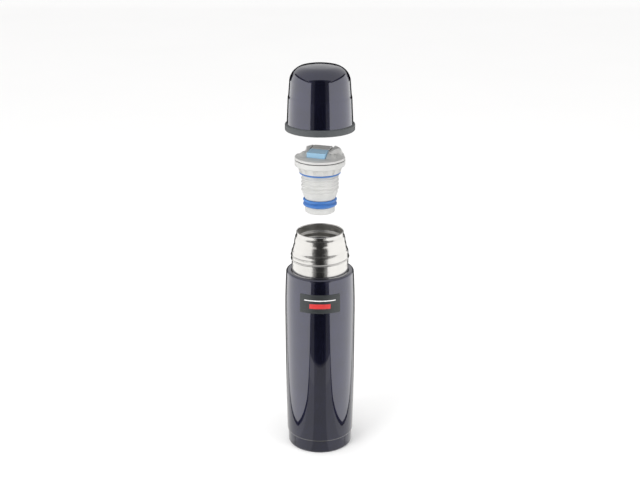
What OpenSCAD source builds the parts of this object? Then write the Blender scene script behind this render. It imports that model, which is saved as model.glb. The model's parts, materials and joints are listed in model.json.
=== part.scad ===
// Vacuum flask with a pour-through stopper and a screw-on drinking cup, shown taken apart along its axis.
// The flask stands on z = 0 with its axis on Z. The front of the flask faces -Y.
// Heights below the lip or the cup's rim are drawn in those pieces' own frames and lifted into place.

/* [Flask] */
// Widest diameter of the barrel
barrel_d = 70; // [69.5:0.5:90]
// Height of the shoulder that the cup rests on
shoulder_h = 190; // [165:1:240]
// Height at which the barrel is widest
bulge_h = 145; // [60:1:150]
// How much smaller the barrel's radius is at its foot
foot_in = 1.1; // [0:0.1:2]
// How much smaller the barrel's radius is at its shoulder
shoulder_in = 1.4; // [0:0.1:2.5]
// Rounding of the shoulder's edge
shoulder_edge = 2.5; // [1:0.25:4]
// Sheet thickness of the outer shell and the neck
shell_wall = 0.5; // [0.4:0.05:1]
// Sheet thickness of the inner vessel
vessel_wall = 0.4; // [0.3:0.05:0.8]
// Smallest width of the vacuum space round the vessel
vacuum_gap = 2.2; // [1.5:0.1:5]
// Height of the vessel's underside above the table
vessel_rise = 12; // [11:0.5:30]
// Rounding of the vessel's bottom
vessel_round = 9; // [4:0.5:12]
// Thickness of the foil wrapped round the vessel
foil_t = 0.2; // [0.1:0.05:0.4]

/* [Base] */
// Height of the base cap
base_h = 13.2; // [10:0.2:20]
// How far the base cap stands inside the barrel's foot
base_in = 1; // [0.4:0.1:2]
// Wall thickness of the base cap
base_wall = 1.1; // [0.8:0.1:1.6]
// Open seam between the base cap and the barrel
base_seam = 0.5; // [0.3:0.1:1]
// Width of the ring that the base cap stands on
foot_ring_w = 6; // [3:0.5:10]
// Height of the hollow under the base cap
foot_hollow = 1.3; // [0.5:0.1:2]
// Diameter of the getter pill in the vacuum space
getter_d = 10; // [6:0.5:14]
// Thickness of the getter pill
getter_t = 1.8; // [1:0.1:2.4]
// Diameter of the evacuation hole in the outer bottom
vent_d = 4; // [2:0.25:6]

/* [Neck] */
// Inside diameter of the mouth
mouth_d = 44; // [36:0.5:45]
// Height of the lip above the shoulder
neck_h = 40; // [34:0.5:48]
// Radial width of the rolled lip
lip_w = 1.3; // [1.2:0.05:1.6]
// Radius of the neck's upper band beyond the lip
upper_band_out = 2.4; // [1.5:0.1:3]
// Height of the upper band
upper_band_h = 12.5; // [10:0.5:15]
// Radius of the neck's threaded band beyond the upper band
lower_band_out = 2.5; // [1.5:0.1:3.2]
// Height of the slope between the two bands
band_slope_h = 6.5; // [4:0.5:8]
// How far the neck's outer thread stands out
cup_thread_h = 0.9; // [0.5:0.1:1]
// Rise of the neck's outer thread in one turn
cup_thread_pitch = 4.2; // [3:0.1:5]
// Turns of the neck's outer thread
cup_thread_turns = 1.75; // [1:0.25:2]
// Depth of the mouth's wide top
mouth_depth = 8.2; // [7:0.1:9]
// How far the seal's bore stands inside the crest of the stopper's thread
seal_bore_in = 1.6; // [1.2:0.1:3]
// Length of the seal's bore
seal_bore_l = 12; // [10:0.5:16]

/* [Label] */
// Width of the badge plate, measured round the barrel
label_w = 42; // [20:1:60]
// Height of the badge plate
label_h = 19.2; // [10:0.2:30]
// Distance from the shoulder down to the plate's top
label_drop = 15; // [8:0.5:60]
// Thickness of the badge plate
label_t = 0.3; // [0.2:0.05:0.6]

/* [Cup] */
// Space above the button's highest edge when the cup is on
cup_headroom = 7.7; // [6:0.1:20]
// How far the cup's rim ring stands inside the barrel's shoulder
cup_in = 0.1; // [0:0.05:0.3]
// Height of the cup's rim ring
rim_h = 6.4; // [5:0.2:9]
// How far the rim ring stands out from the cup
rim_out = 1.75; // [1:0.05:2.5]
// Height of the small step round the cup
cup_step_h = 32; // [20:0.5:40]
// Depth of the small step round the cup
cup_step = 0.6; // [0.2:0.1:1]
// Taper of the cup's wall, as a loss of radius from the rim to the step
cup_taper = 1.15; // [0.5:0.05:2]
// Taper of the cup's wall from the step to the dome
cup_taper_top = 0.9; // [0.4:0.05:1.5]
// Rounding of the dome's corner
dome_round = 16; // [12:0.5:18]
// Height of the dome's crown above the top of that rounding
crown_h = 1.5; // [1:0.1:3]
// Sheet thickness of the cup's shell
cup_wall = 0.4; // [0.3:0.05:0.8]
// Wall thickness of the cup's plastic liner
liner_wall = 0.8; // [0.6:0.05:1]

/* [Stopper] */
// How far the stopper's flange stands out beyond the lip
flange_out = 1.1; // [0.4:0.1:2]
// Height of the flange's side
flange_h = 5.4; // [4.6:0.1:8]
// Thickness of the gasket in the dark seam
gasket_t = 0.9; // [0.5:0.1:1.5]
// How far the gasket stands back from the flange
gasket_in = 1.1; // [0.5:0.1:2]
// How far the crest of the stopper's thread stands inside the mouth
plug_thread_in = 3.6; // [3.5:0.1:5]
// How far the stopper's thread stands out
plug_thread_h = 1.2; // [0.8:0.1:1.4]
// Rise of the stopper's thread in one turn
plug_thread_pitch = 3.9; // [3.6:0.1:5]
// Turns of the stopper's thread
plug_thread_turns = 4.25; // [2:0.25:4.25]
// Depth from the lip to the end of the threaded length
plug_thread_end = 26.7; // [26:0.1:28]
// Depth from the lip to the lower seal's seat
seal_seat = 32.8; // [31.5:0.1:34]
// Length of the lower seal
lower_seal_l = 7.4; // [6:0.1:8]
// How far the lower seal's lips stand out from its seat
lower_seal_lip = 3; // [2:0.1:3.2]
// Radius of the upper seal's cord
upper_seal_r = 0.85; // [0.7:0.05:0.9]
// How far the stopper's bottom disc stands inside the seal's bore
disc_in = 2.3; // [1:0.1:3]
// Thickness of the stopper's bottom disc
disc_t = 6.5; // [5:0.1:9]

/* [Cover] */
// Turn of the button away from the front, seen from above
button_turn = 20; // [0:1:45]
// Height of the cover's rim
cover_rim_h = 2.2; // [1.8:0.1:3]
// Width of the button and the key
button_w = 18.6; // [16:0.2:19]
// How far the button and the key stand to the left of the axis
button_left = 2; // [0:0.5:2.5]
// Length of the button
button_l = 12.4; // [11:0.2:13]
// Distance of the button's front from the axis
button_front = 7.5; // [7:0.1:9]
// Height of the button's front edge above the seam
button_h = 6.6; // [6:0.1:8]
// Slope of the top of the button and the key
top_slope = 6; // [2:0.5:7]
// Distance from the key's back corners to the cover's edge
key_margin = 1.4; // [1.2:0.1:3]
// Length of the key's falling back
key_back = 4.4; // [3:0.2:4.4]
// Radius of the key's pin
key_pin_r = 1.2; // [0.8:0.1:1.4]
// Travel of the button and the valve
button_travel = 2.5; // [1.5:0.1:3]

/* [Valve] */
// Radius of the valve's stem
stem_r = 2.2; // [1.8:0.1:2.8]
// How far the valve's head laps its seat
seat_lap = 2.4; // [1.5:0.1:2.8]
// Wire radius of the valve's spring
wire_r = 0.35; // [0.25:0.05:0.45]
// Turns of the valve's spring
spring_turns = 5; // [3:1:6]

/* [Fits] */
// Clearance between the crests of a thread and its mate
crest_gap = 0.35; // [0.3:0.05:0.6]
// Clearance between a seal and what it turns or slides on
seal_gap = 0.15; // [0.1:0.05:0.25]
// Clearance between a seal's lip and its bore
lip_gap = 0.3; // [0.2:0.05:0.4]
// Running clearance of the key on its pin
pin_gap = 0.06; // [0.03:0.01:0.1]
// Clearance all round the button and the key
button_gap = 0.5; // [0.35:0.05:0.6]
// Clearance between the cup and its rim ring
ring_gap = 0.1; // [0.05:0.05:0.2]
// Clearance between two pieces welded or bonded together
weld_gap = 0.05; // [0.03:0.01:0.1]

/* [Taken apart] */
// How far the stopper is lifted off the flask
stopper_raise = 67; // [50:1:120]
// How far the cup is lifted above its place on the stopper
cup_raise = 75; // [60:1:120]

/* [Hidden] */
$fn = 96;

paint = [0.13, 0.14, 0.22];
steel = [0.78, 0.78, 0.79];
dark_plastic = [0.24, 0.25, 0.27];
light_plastic = [0.82, 0.82, 0.8];
sky = [0.62, 0.78, 0.9];
silicone = [0.25, 0.48, 0.85];

far = 60; // longer than any cut has to be
thin = 0.01; // overlap of joined shapes in one piece
bury = 0.3; // how deep a thread's root lies in its wall
run_out = 5; // steps over which a thread rises out of its wall
thread_steps = 36; // steps of a thread in one turn
coil_steps = 24; // steps of a spring in one turn

// Flask
barrel_r = barrel_d / 2;
step_z = base_h + base_seam;
foot_edge = 0.8;
foot_r = barrel_r - foot_in;
base_r = foot_r - base_in;
skirt_r = base_r - base_wall;
skirt_z = 4;
bottom_z = 6;
plug_flange = 2;
lip_z = shoulder_h + neck_h;
vessel_r = barrel_r - max(shoulder_in, foot_in) - shell_wall - vacuum_gap - vessel_wall;
mouth_r = mouth_d / 2;
lip_r = mouth_r + lip_w;
plug_thread_r = mouth_r - plug_thread_in;
upper_r = lip_r + upper_band_out;
collar_r = upper_r + lower_band_out;
collar_top = -upper_band_h - band_slope_h; // top of the threaded band, below the lip
collar_flange = 2.6;
lip_h = 1.5; // height of the rolled lip
seal_bore_r = plug_thread_r - seal_bore_in;
neck_thread_h = 0.8;
plug_bore_r = plug_thread_r + crest_gap + neck_thread_h;
neck_thread_turns = 1.75;
bore_top = mouth_depth + 0.4;
bore_end = plug_thread_end - 0.7;
cone_end = bore_end + 4.5;
flare_z = cone_end + seal_bore_l;
flare_r = 5;
vessel_shoulder_r = 10;
vessel_fall = 20; // fall of the vessel's shoulder, in degrees

// Stopper, below and above the lip
flange_r = lip_r + flange_out;
cover_z = flange_h + gasket_t;
plug_r = mouth_r - lip_gap - 0.2;
plug_foot_r = plug_r - 1.3;
plug_foot = mouth_depth - 2.2;
thread_r = plug_thread_r - plug_thread_h;
groove_h = 2 * (upper_seal_r + seal_gap);
groove_r = plug_bore_r + 0.5 - 2 * upper_seal_r - seal_gap;
disc_r = seal_bore_r - disc_in;
spigot_r = seal_bore_r - lip_gap - lower_seal_lip;
spigot_end = seal_seat + lower_seal_l;
disc_end = spigot_end + disc_t;
well_r = stem_r + 2;
well_end = 9;
channel_r = 1.5;
channel_at = well_r + channel_r + 0.7;
chamber_r = channel_at + channel_r + 1.1;
chamber_top = 27;
core_r = chamber_r + 0.2;
pocket_r = thread_r - 1.6;
pocket_end = 24;
deck_z = 1;
deck_t = 1;
deck_r = flange_r - 4.4;

// Valve
seat_bore = chamber_r - 2;
valve_r = seat_bore + seat_lap;
head_t = 1.5;
head_z = -disc_end + 0.2;
valve_seal_t = 0.8;
stem_seal_t = 1.2;
collar_z = 2.4; // underside of the stem's collar
collar_t = 1.2;
spring_foot = -well_end + stem_seal_t;
spring_r = well_r - 0.3 - wire_r - 0.25;

// Button and key, in the button's own frame: X across, Y to the back, Z up from the seam
button_foot = 1.6;
well_floor = button_foot - button_travel - 0.5;
box_wall = 1.2;
button_back = button_l - button_front;
key_gap = 0.7;
key_front = button_back + key_gap;
key_end = sqrt(pow(flange_r - key_margin, 2) - pow(button_w / 2 + button_left, 2));
key_top_end = key_end - key_back; // back of the key's top
key_foot = 3;
key_floor = 1.2;
key_pin_at = [key_top_end + 1.2, 4.2];
key_boss_r = key_pin_r + 1;
corner_r = 1.2;

// Cup
cup_h = neck_h + cover_z + top_at(key_top_end) + cup_headroom;
cup_foot_r = barrel_r - shoulder_in - cup_in - rim_out;
liner_r = cup_foot_r - cup_wall - weld_gap - liner_wall;
liner_thread_h = liner_r - collar_r - cup_thread_h - crest_gap;

function unit(v) = v / norm(v);
function left(v) = [-v[1], v[0]];
// Height of the sloping top of the button and the key, at y
function top_at(y) = button_h + (y + button_front) * tan(top_slope);
// Points round part of a circle, from angle a0 to angle a1
function arc(c, r, a0, a1, n = 10) = [for (i = [0:n]) let (a = a0 + (a1 - a0) * i / n) c + r * [cos(a), sin(a)]];
// An open outline moved to its left by t, with its corners mitred. An end on the axis stays on it.
function moved(p, t) = [for (i = [0:len(p) - 1]) let (
    j = min(i, len(p) - 2),
    k = max(i, 1),
    a = left(unit(p[j + 1] - p[j])),
    b = left(unit(p[k] - p[k - 1])),
    m = unit(a + b),
    q = p[i] + m * t / (m * a)) p[i][0] < thin ? [0, q[1]] : q];
// Outside radius of the barrel at height z
function barrel_at(z) = z < bulge_h
    ? barrel_r - foot_in * pow((bulge_h - z) / (bulge_h - step_z), 2)
    : barrel_r - shoulder_in * pow((z - bulge_h) / (shoulder_h - bulge_h), 2);

// A sheet of thickness t on the left of an open outline
module sheet(p, t) {
    q = moved(p, t);
    polygon(concat(p, [for (i = [len(q) - 1:-1:0]) q[i]]));
}

// A tube between two heights
module ring(r_in, r_out, z0, z1) {
    rotate_extrude() translate([r_in, z0]) square([r_out - r_in, z1 - z0]);
}

// A rectangle with round corners, made of true circles
module rounded(x0, x1, y0, y1, r) {
    translate([x0 + r, y0]) square([x1 - x0 - 2 * r, y1 - y0]);
    translate([x0, y0 + r]) square([x1 - x0, y1 - y0 - 2 * r]);
    for (x = [x0 + r, x1 - r], y = [y0 + r, y1 - r]) translate([x, y]) circle(r = r);
}

// A section wound round Z at radius r. Its points are [outward, upward] and run anticlockwise.
// Over run steps at each end the section shrinks towards its first point's radius.
module wound(section, r, pitch, turns, steps, run = 0) {
    n = ceil(turns * steps);
    m = len(section);
    root = section[0][0];
    least = 0.2;
    size = [for (i = [0:n]) run > 0 ? min(1, least + (1 - least) * min(i, n - i) / run) : 1];
    points = [for (i = [0:n], s = section) let (a = 360 * i / steps, q = r + root + (s[0] - root) * size[i])
        [q * cos(a), q * sin(a), pitch * i / steps + s[1] * size[i]]];
    sides = [for (i = [0:n - 1], j = [0:m - 1]) let (a = i * m + j, b = i * m + (j + 1) % m)
        each [[a, b, a + m], [b, b + m, a + m]]];
    caps = [for (j = [1:m - 2]) each [[0, j + 1, j], [n * m, n * m + j, n * m + j + 1]]];
    polyhedron(points, concat(sides, caps));
}

// A rolled thread standing out from radius r, or in from it where h is negative
module thread(r, h, width, pitch, turns) {
    s = sign(h);
    out = [[-s * bury, -width / 2], [0.75 * h, -0.3 * width], [h, 0], [0.75 * h, 0.3 * width], [-s * bury, width / 2]];
    wound(s > 0 ? out : [for (i = [0, 4, 3, 2, 1]) out[i]], r, pitch, turns, thread_steps, run_out);
}

module at_stopper() translate([0, 0, lip_z + stopper_raise]) children();
module at_cover() at_stopper() translate([0, 0, cover_z]) rotate([0, 0, -button_turn]) children();
module at_cup() translate([0, 0, shoulder_h + stopper_raise + cup_raise]) children();

// ---- Flask ----

// Painted barrel, necked in at the foot for the base cap, with the shoulder's ring on top
module outer_shell() {
    z0 = step_z + foot_edge;
    z1 = shoulder_h - shoulder_edge;
    steps = 14;
    outline = concat(
        [[skirt_r, skirt_z], [skirt_r, step_z]],
        arc([foot_r - foot_edge, z0], foot_edge, -90, 0, 4),
        [for (i = [1:steps]) let (z = z0 + (z1 - z0) * i / steps) [barrel_at(z), z]],
        arc([barrel_at(z1) - shoulder_edge, z1], shoulder_edge, 15, 90, 5),
        [[collar_r + weld_gap, shoulder_h]]);
    color(paint) rotate_extrude() sheet(outline, shell_wall);
}

// Bare steel neck: a flange welded under the shoulder, the threaded band, the upper band and the lip
module neck_collar() {
    flange_z = -neck_h - shell_wall;
    thread_in = 4;
    outline = concat(
        [[collar_r + collar_flange, flange_z], [collar_r, flange_z], [collar_r, collar_top - 1.2]],
        [[collar_r - 0.4, collar_top], [upper_r + 0.3, -upper_band_h - 0.8], [upper_r, -upper_band_h]],
        [[upper_r - 0.4, -upper_band_h * 0.68], [upper_r - 1.1, -upper_band_h * 0.42]],
        [[lip_r, -lip_h - 1], [lip_r, -lip_h + thin]]);
    color(steel) translate([0, 0, lip_z]) {
        rotate_extrude() {
            sheet(outline, shell_wall);
            translate([mouth_r, -lip_h]) square([lip_w, lip_h - lip_w / 2]);
            translate([mouth_r + lip_w / 2, -lip_w / 2]) circle(d = lip_w);
        }
        translate([0, 0, collar_top - thread_in - cup_thread_turns * cup_thread_pitch])
            thread(collar_r, cup_thread_h, 2.4, cup_thread_pitch, cup_thread_turns);
    }
}

// Inside outline of the vessel, from the lip down to the middle of its floor
function vessel_outline() = let (
    fall = [cos(vessel_fall), -sin(vessel_fall)],
    c1 = [seal_bore_r + flare_r, -flare_z],
    p1 = c1 + flare_r * [cos(270 - vessel_fall), sin(270 - vessel_fall)],
    arc_r = vessel_r - vessel_shoulder_r + vessel_shoulder_r * cos(90 - vessel_fall),
    p2 = p1 + fall * (arc_r - p1[0]) / fall[0],
    c2 = p2 - vessel_shoulder_r * [cos(90 - vessel_fall), sin(90 - vessel_fall)],
    floor_z = vessel_rise + vessel_wall - lip_z)
    concat(
        [[mouth_r, -lip_h], [mouth_r, -mouth_depth + 1], [mouth_r - 0.8, -mouth_depth]],
        [[plug_bore_r + 0.4, -mouth_depth], [plug_bore_r, -bore_top], [plug_bore_r, -bore_end]],
        [[seal_bore_r, -cone_end]],
        arc(c1, flare_r, 180, 270 - vessel_fall, 6),
        arc(c2, vessel_shoulder_r, 90 - vessel_fall, 0, 6),
        arc([vessel_r - vessel_round, floor_z + vessel_round], vessel_round, 0, -90, 6),
        [[0, floor_z]]);

// Inner vessel that holds the drink, with the stopper's thread in its neck
module inner_vessel() {
    color(steel) translate([0, 0, lip_z]) {
        rotate_extrude() sheet(vessel_outline(), vessel_wall);
        translate([0, 0, -bore_top - 3 - neck_thread_turns * plug_thread_pitch])
            thread(plug_bore_r, -neck_thread_h, 2, plug_thread_pitch, neck_thread_turns);
    }
}

// Copper foil round the vessel, which turns heat back
module foil_wrap() {
    foil_margin = 12;
    top = lip_z - flare_z - vessel_shoulder_r - foil_margin;
    color([0.85, 0.55, 0.4]) ring(vessel_r + vessel_wall, vessel_r + vessel_wall + foil_t,
        vessel_rise + foil_margin, top);
}

// Pressed disc that closes the vacuum space, welded inside the shell's skirt
module outer_bottom() {
    r = skirt_r - shell_wall;
    outline = [[vent_d / 2, bottom_z - 1], [vent_d / 2 + 3, bottom_z - 1], [vent_d / 2 + 5, bottom_z],
        [r - 1.5, bottom_z], [r, bottom_z - 1.2], [r, skirt_z]];
    color(steel) rotate_extrude() sheet(outline, -shell_wall);
}

// Getter pill that keeps the vacuum
module getter() {
    color([0.5, 0.5, 0.52]) translate([vent_d / 2 + 5 + getter_d / 2 + 2, 0, bottom_z])
        cylinder(d = getter_d, h = getter_t);
}

// Braze plug that seals the evacuation hole
module vacuum_plug() {
    shank_r = vent_d / 2 - weld_gap;
    head_r = vent_d / 2 + plug_flange;
    top = bottom_z - 1;
    foot = bottom_z - 2.2;
    color([0.6, 0.6, 0.62]) rotate_extrude() polygon([[0, top], [shank_r, top], [shank_r, top - shell_wall],
        [head_r, top - shell_wall], [head_r - 0.4, foot], [0, foot]]);
}

// Base cap: a painted cup over the shell's skirt, with a foot ring
module base_cap() {
    round_r = 2;
    ring_out = base_r - round_r;
    ring_in = ring_out - foot_ring_w;
    outside = concat(
        [[0, foot_hollow], [ring_in - 1, foot_hollow], [ring_in, 0]],
        arc([ring_out, round_r], round_r, -90, 0, 6),
        [[base_r, base_h - 0.3], [base_r - 0.3, base_h]]);
    inside = [[skirt_r, base_h], [skirt_r, round_r + base_wall], [ring_out - 0.6, foot_hollow + base_wall],
        [0, foot_hollow + base_wall]];
    color(paint) rotate_extrude() polygon(concat(outside, inside));
}

// Plain badge plate bonded to the front of the barrel
module badge_plate() {
    top = shoulder_h - label_drop;
    turn = label_w / (barrel_r * PI / 180);
    steps = 6;
    outline = [for (i = [0:steps]) let (z = top - label_h * (1 - i / steps)) [barrel_at(z), z]];
    color(dark_plastic) rotate([0, 0, -90 - turn / 2]) rotate_extrude(angle = turn) sheet(outline, -label_t);
}

// ---- Stopper ----

// The stem's hole and the two pouring channels, which run through the core and the body's floor
module stem_ways() {
    cylinder(r = stem_r + seal_gap, h = far, center = true);
    for (s = [-1, 1]) rotate([0, 0, -button_turn]) translate([s * channel_at, 0, 0])
        cylinder(r = channel_r, h = far, center = true);
}

// Threaded outer body with the flange, the seals' seats, the pocket above and the chamber below
module stopper_body() {
    groove_top = plug_foot + 0.1;
    groove_foot = groove_top + groove_h;
    thread_top = groove_foot + 1.6;
    edge = 0.6;
    outline = [[0, -spigot_end], [spigot_r, -spigot_end], [spigot_r, -seal_seat],
        [disc_r + 0.5, -seal_seat], [thread_r, -plug_thread_end], [thread_r, -groove_foot - 0.5],
        [thread_r + 0.5, -groove_foot], [groove_r, -groove_foot], [groove_r, -groove_top],
        [plug_foot_r, -groove_top], [plug_foot_r, -plug_foot + 0.4], [plug_r, -0.5], [plug_r, 0],
        [flange_r - edge, 0], [flange_r, edge], [flange_r, flange_h], [0, flange_h]];
    color(light_plastic) at_stopper() difference() {
        union() {
            rotate_extrude() polygon(outline);
            translate([0, 0, -thread_top - plug_thread_turns * plug_thread_pitch])
                thread(thread_r, plug_thread_h, 2.8, plug_thread_pitch, plug_thread_turns);
        }
        translate([0, 0, deck_z]) cylinder(r = deck_r, h = far);
        translate([0, 0, -pocket_end]) cylinder(r = pocket_r, h = far);
        translate([0, 0, -far]) cylinder(r = chamber_r, h = far - chamber_top);
        stem_ways();
    }
}

// Core of the stopper, with the spring's well
module stopper_core() {
    color(light_plastic) at_stopper() difference() {
        translate([0, 0, -pocket_end]) cylinder(r = core_r, h = pocket_end + deck_z);
        translate([0, 0, -well_end]) cylinder(r = well_r, h = far);
        stem_ways();
    }
}

// Cover with the rim, the two wings, the button's well and the two pouring troughs
module stopper_cover() {
    rim_edge = 0.7;
    front_slope = 52;
    slope_foot = button_front - 1;
    below_button = 0.5;
    dish = [[0, 0], [flange_r, 0], [flange_r, cover_rim_h - rim_edge], [flange_r - rim_edge, cover_rim_h],
        [0, cover_rim_h - 0.2]];
    wing_r = [flange_r - 0.8, flange_r - 3];
    wing_h = top_at(key_top_end) - 0.7;
    half = button_w / 2 + button_gap;
    color(light_plastic) at_cover() difference() {
        union() {
            rotate_extrude() polygon(dish);
            difference() {
                cylinder(r1 = wing_r[0], r2 = wing_r[1], h = wing_h);
                // front slope and sloping top of the wings
                translate([-far / 2, -slope_foot, cover_rim_h - 0.4]) rotate([-front_slope, 0, 0])
                    translate([0, -far, -far / 2]) cube([far, far, far]);
                translate([-far / 2, -button_front, button_h - below_button]) rotate([top_slope, 0, 0])
                    translate([0, -far / 2, 0]) cube([far, 2 * far, far]);
            }
            // walls and floor of the button's well, which hangs into the body
            translate([-button_left, 0, well_floor - box_wall]) linear_extrude(box_wall - well_floor)
                rounded(-half - box_wall, half + box_wall, -button_front - button_gap - box_wall,
                    button_back + button_gap + box_wall, corner_r);
            translate([0, 0, deck_z + deck_t - cover_z]) cylinder(r = well_r + 0.7, h = cover_z - deck_z - deck_t);
        }
        translate([-button_left, 0, well_floor]) linear_extrude(far)
            rounded(-half, half, -button_front - button_gap, button_back + button_gap, corner_r + button_gap);
        translate([-button_left, 0, key_floor]) linear_extrude(far)
            rounded(-half, half, 0, key_end + button_gap, corner_r + button_gap);
        // the key's slot is open at the back above the rim
        translate([-button_left - half, key_front, key_foot]) cube([2 * half, far, far]);
        translate([0, 0, -far / 2]) cylinder(r = well_r, h = far);
        for (s = [0, 1]) translate([-button_left * s, 0, 0]) mirror([s, 0, 0]) trough();
        translate([-button_left, key_pin_at[0], key_pin_at[1]]) rotate([0, 90, 0])
            cylinder(r = key_pin_r + weld_gap, h = 2 * (half + 1.6), center = true);
    }
}

// The cut of one pouring trough and its port
module trough() {
    inner = flange_r - 11.2;
    floor_h = 5;
    tilt = 16;
    port_r = 1.8;
    port_at = [deck_r - 4.8, 4.6];
    translate([inner, 0, floor_h]) rotate([0, tilt, 0]) linear_extrude(far)
        polygon([[0, 6.5], [9, 14.5], [16, 8], [12, -8], [1, -1.5]]);
    translate([port_at[0], port_at[1], -far / 2]) cylinder(r = port_r, h = far);
}

// Dark gasket in the seam between the flange and the cover
module seam_gasket() {
    color([0.12, 0.12, 0.13]) at_stopper() ring(deck_r + 0.4, flange_r - gasket_in, flange_h, cover_z);
}

// Plate that closes the insulation's pocket
module deck_plate() {
    color(light_plastic) at_stopper() difference() {
        translate([0, 0, deck_z]) cylinder(r = deck_r - weld_gap, h = deck_t);
        cylinder(r = well_r, h = far);
        stem_ways();
    }
}

// Foam ring in the stopper's pocket
module stopper_insulation() {
    color([0.95, 0.93, 0.85]) at_stopper()
        ring(core_r + lip_gap, pocket_r - lip_gap, -pocket_end, deck_z - lip_gap);
}

// Round cord seal above the thread
module upper_seal() {
    z = -plug_foot - 0.1 - groove_h / 2;
    color(silicone) at_stopper() rotate_extrude() translate([groove_r + seal_gap + upper_seal_r, z])
        circle(r = upper_seal_r);
}

// Two-lipped seal at the stopper's foot
module lower_seal() {
    z0 = -spigot_end + seal_gap;
    z1 = -seal_seat - seal_gap;
    lip = (lower_seal_lip - 0.3) / 2;
    r_in = spigot_r + seal_gap;
    color(silicone) at_stopper() rotate_extrude() {
        translate([r_in, z0]) square([1.2, z1 - z0]);
        for (z = [z0 + lip, z1 - lip]) {
            translate([spigot_r + lower_seal_lip - lip, z]) circle(r = lip);
            translate([r_in + thin, z - lip]) square([spigot_r + lower_seal_lip - lip - r_in, 2 * lip]);
        }
    }
}

// Bottom disc: the valve's seat, which also holds the lower seal on
module valve_seat() {
    seat_z = head_z + head_t + valve_seal_t;
    color(light_plastic) at_stopper() difference() {
        union() {
            rotate_extrude() polygon([[0, -disc_end], [disc_r - 0.8, -disc_end], [disc_r, -disc_end + 0.8],
                [disc_r, -spigot_end - 0.6], [disc_r - 0.6, -spigot_end], [0, -spigot_end]]);
            translate([0, 0, -spigot_end - thin]) cylinder(r = chamber_r - weld_gap, h = 4);
        }
        translate([0, 0, -far]) cylinder(r = seat_bore, h = 2 * far);
        translate([0, 0, -far]) cylinder(r = valve_r + 0.6, h = far + seat_z);
    }
}

// Stem with the valve's head at its foot and the spring's collar near its top
module valve_stem() {
    color(dark_plastic) at_stopper() rotate_extrude() {
        translate([0, head_z]) square([valve_r, head_t]);
        translate([0, head_z]) square([stem_r, cover_z + button_foot - head_z]);
        translate([0, collar_z]) square([well_r - 0.3, collar_t]);
    }
}

// Flat seal on the valve's head
module valve_seal() {
    color(silicone) at_stopper() ring(seat_bore + 0.3, valve_r - 0.2, head_z + head_t, head_z + head_t + valve_seal_t);
}

// Seal round the stem, at the bottom of the spring's well
module stem_seal() {
    color(silicone) at_stopper() ring(stem_r + seal_gap, well_r - weld_gap, -well_end, -well_end + stem_seal_t);
}

// Coil spring that holds the valve shut
module valve_spring() {
    sides = 6;
    section = [for (i = [0:sides - 1]) wire_r * [cos(360 * i / sides), sin(360 * i / sides)]];
    z0 = spring_foot + wire_r;
    color(steel) at_stopper() translate([0, 0, z0])
        wound(section, spring_r, (collar_z - wire_r - z0) / spring_turns, spring_turns, coil_steps);
}

// Blue button: a hollow block with a sloping top that presses on the stem
module release_button() {
    shell = 1.4;
    half = button_w / 2;
    color(sky) at_cover() difference() {
        union() {
            translate([-button_left, 0, button_foot]) difference() {
                linear_extrude(button_h + 3) rounded(-half, half, -button_front, button_back, corner_r);
                translate([0, 0, -thin]) linear_extrude(button_h - button_foot - shell + thin)
                    rounded(shell - half, half - shell, shell - button_front, button_back - shell, corner_r / 2);
            }
            translate([0, 0, button_foot]) cylinder(r = stem_r + 1.5, h = button_h - button_foot);
        }
        translate([-far / 2, -button_front, button_h]) rotate([top_slope, 0, 0])
            translate([0, -far / 2, 0]) cube([far, 2 * far, far]);
    }
}

// Grey key behind the button, which turns on its pin and shuts the valve
module close_key() {
    half = button_w / 2;
    shell = 1.6;
    color(light_plastic) at_cover() translate([-button_left, 0, 0]) difference() {
        union() {
            intersection() {
                translate([0, 0, key_foot]) linear_extrude(far) rounded(-half, half, key_front, key_end, corner_r);
                rotate([90, 0, 90]) linear_extrude(far, center = true) polygon([[key_front - 1, 0],
                    [key_end + 1, 0], [key_end + 1, top_at(key_top_end) - key_back - 1],
                    [key_top_end, top_at(key_top_end)], [key_front - 1, top_at(key_front - 1)]]);
            }
            translate([0, key_pin_at[0], key_pin_at[1]]) rotate([0, 90, 0])
                cylinder(r = key_boss_r, h = button_w - 2 * corner_r, center = true);
        }
        translate([0, 0, key_foot - thin]) linear_extrude(top_at(key_front) - key_foot - shell)
            rounded(shell - half, half - shell, key_front + shell, key_pin_at[0] - key_boss_r - 1, corner_r / 2);
        translate([0, key_pin_at[0], key_pin_at[1]]) rotate([0, 90, 0])
            cylinder(r = key_pin_r + pin_gap, h = far, center = true);
    }
}

// Pin that the key turns on
module key_pin() {
    color(steel) at_cover() translate([-button_left, key_pin_at[0], key_pin_at[1]]) rotate([0, 90, 0])
        cylinder(r = key_pin_r, h = button_w + 2 * button_gap + 2.4, center = true);
}

// ---- Cup ----

// Outside outline of the cup, from its rim to the middle of its top
function cup_outline() = let (
    r1 = cup_foot_r - cup_taper,
    r2 = r1 - cup_step,
    r3 = r2 - cup_taper_top,
    c1 = [r3 - dome_round, cup_h - crown_h - dome_round],
    depth = crown_h + dome_round,
    crown_r = (c1[0] * c1[0] + depth * depth - dome_round * dome_round) / (2 * crown_h),
    meet = atan2(crown_r - depth, c1[0]))
    concat(
        [[cup_foot_r, 1.3], [cup_foot_r, rim_h], [r1, cup_step_h], [r2, cup_step_h + 1.2]],
        arc(c1, dome_round, 0, meet, 12),
        [for (i = [1:5]) [0, cup_h - crown_r] + crown_r * [cos(meet + (90 - meet) * i / 5), sin(meet + (90 - meet) * i / 5)]]);

// Painted dome of the cup
module cup_shell() {
    color(paint) at_cup() rotate_extrude() sheet(cup_outline(), cup_wall);
}

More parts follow.
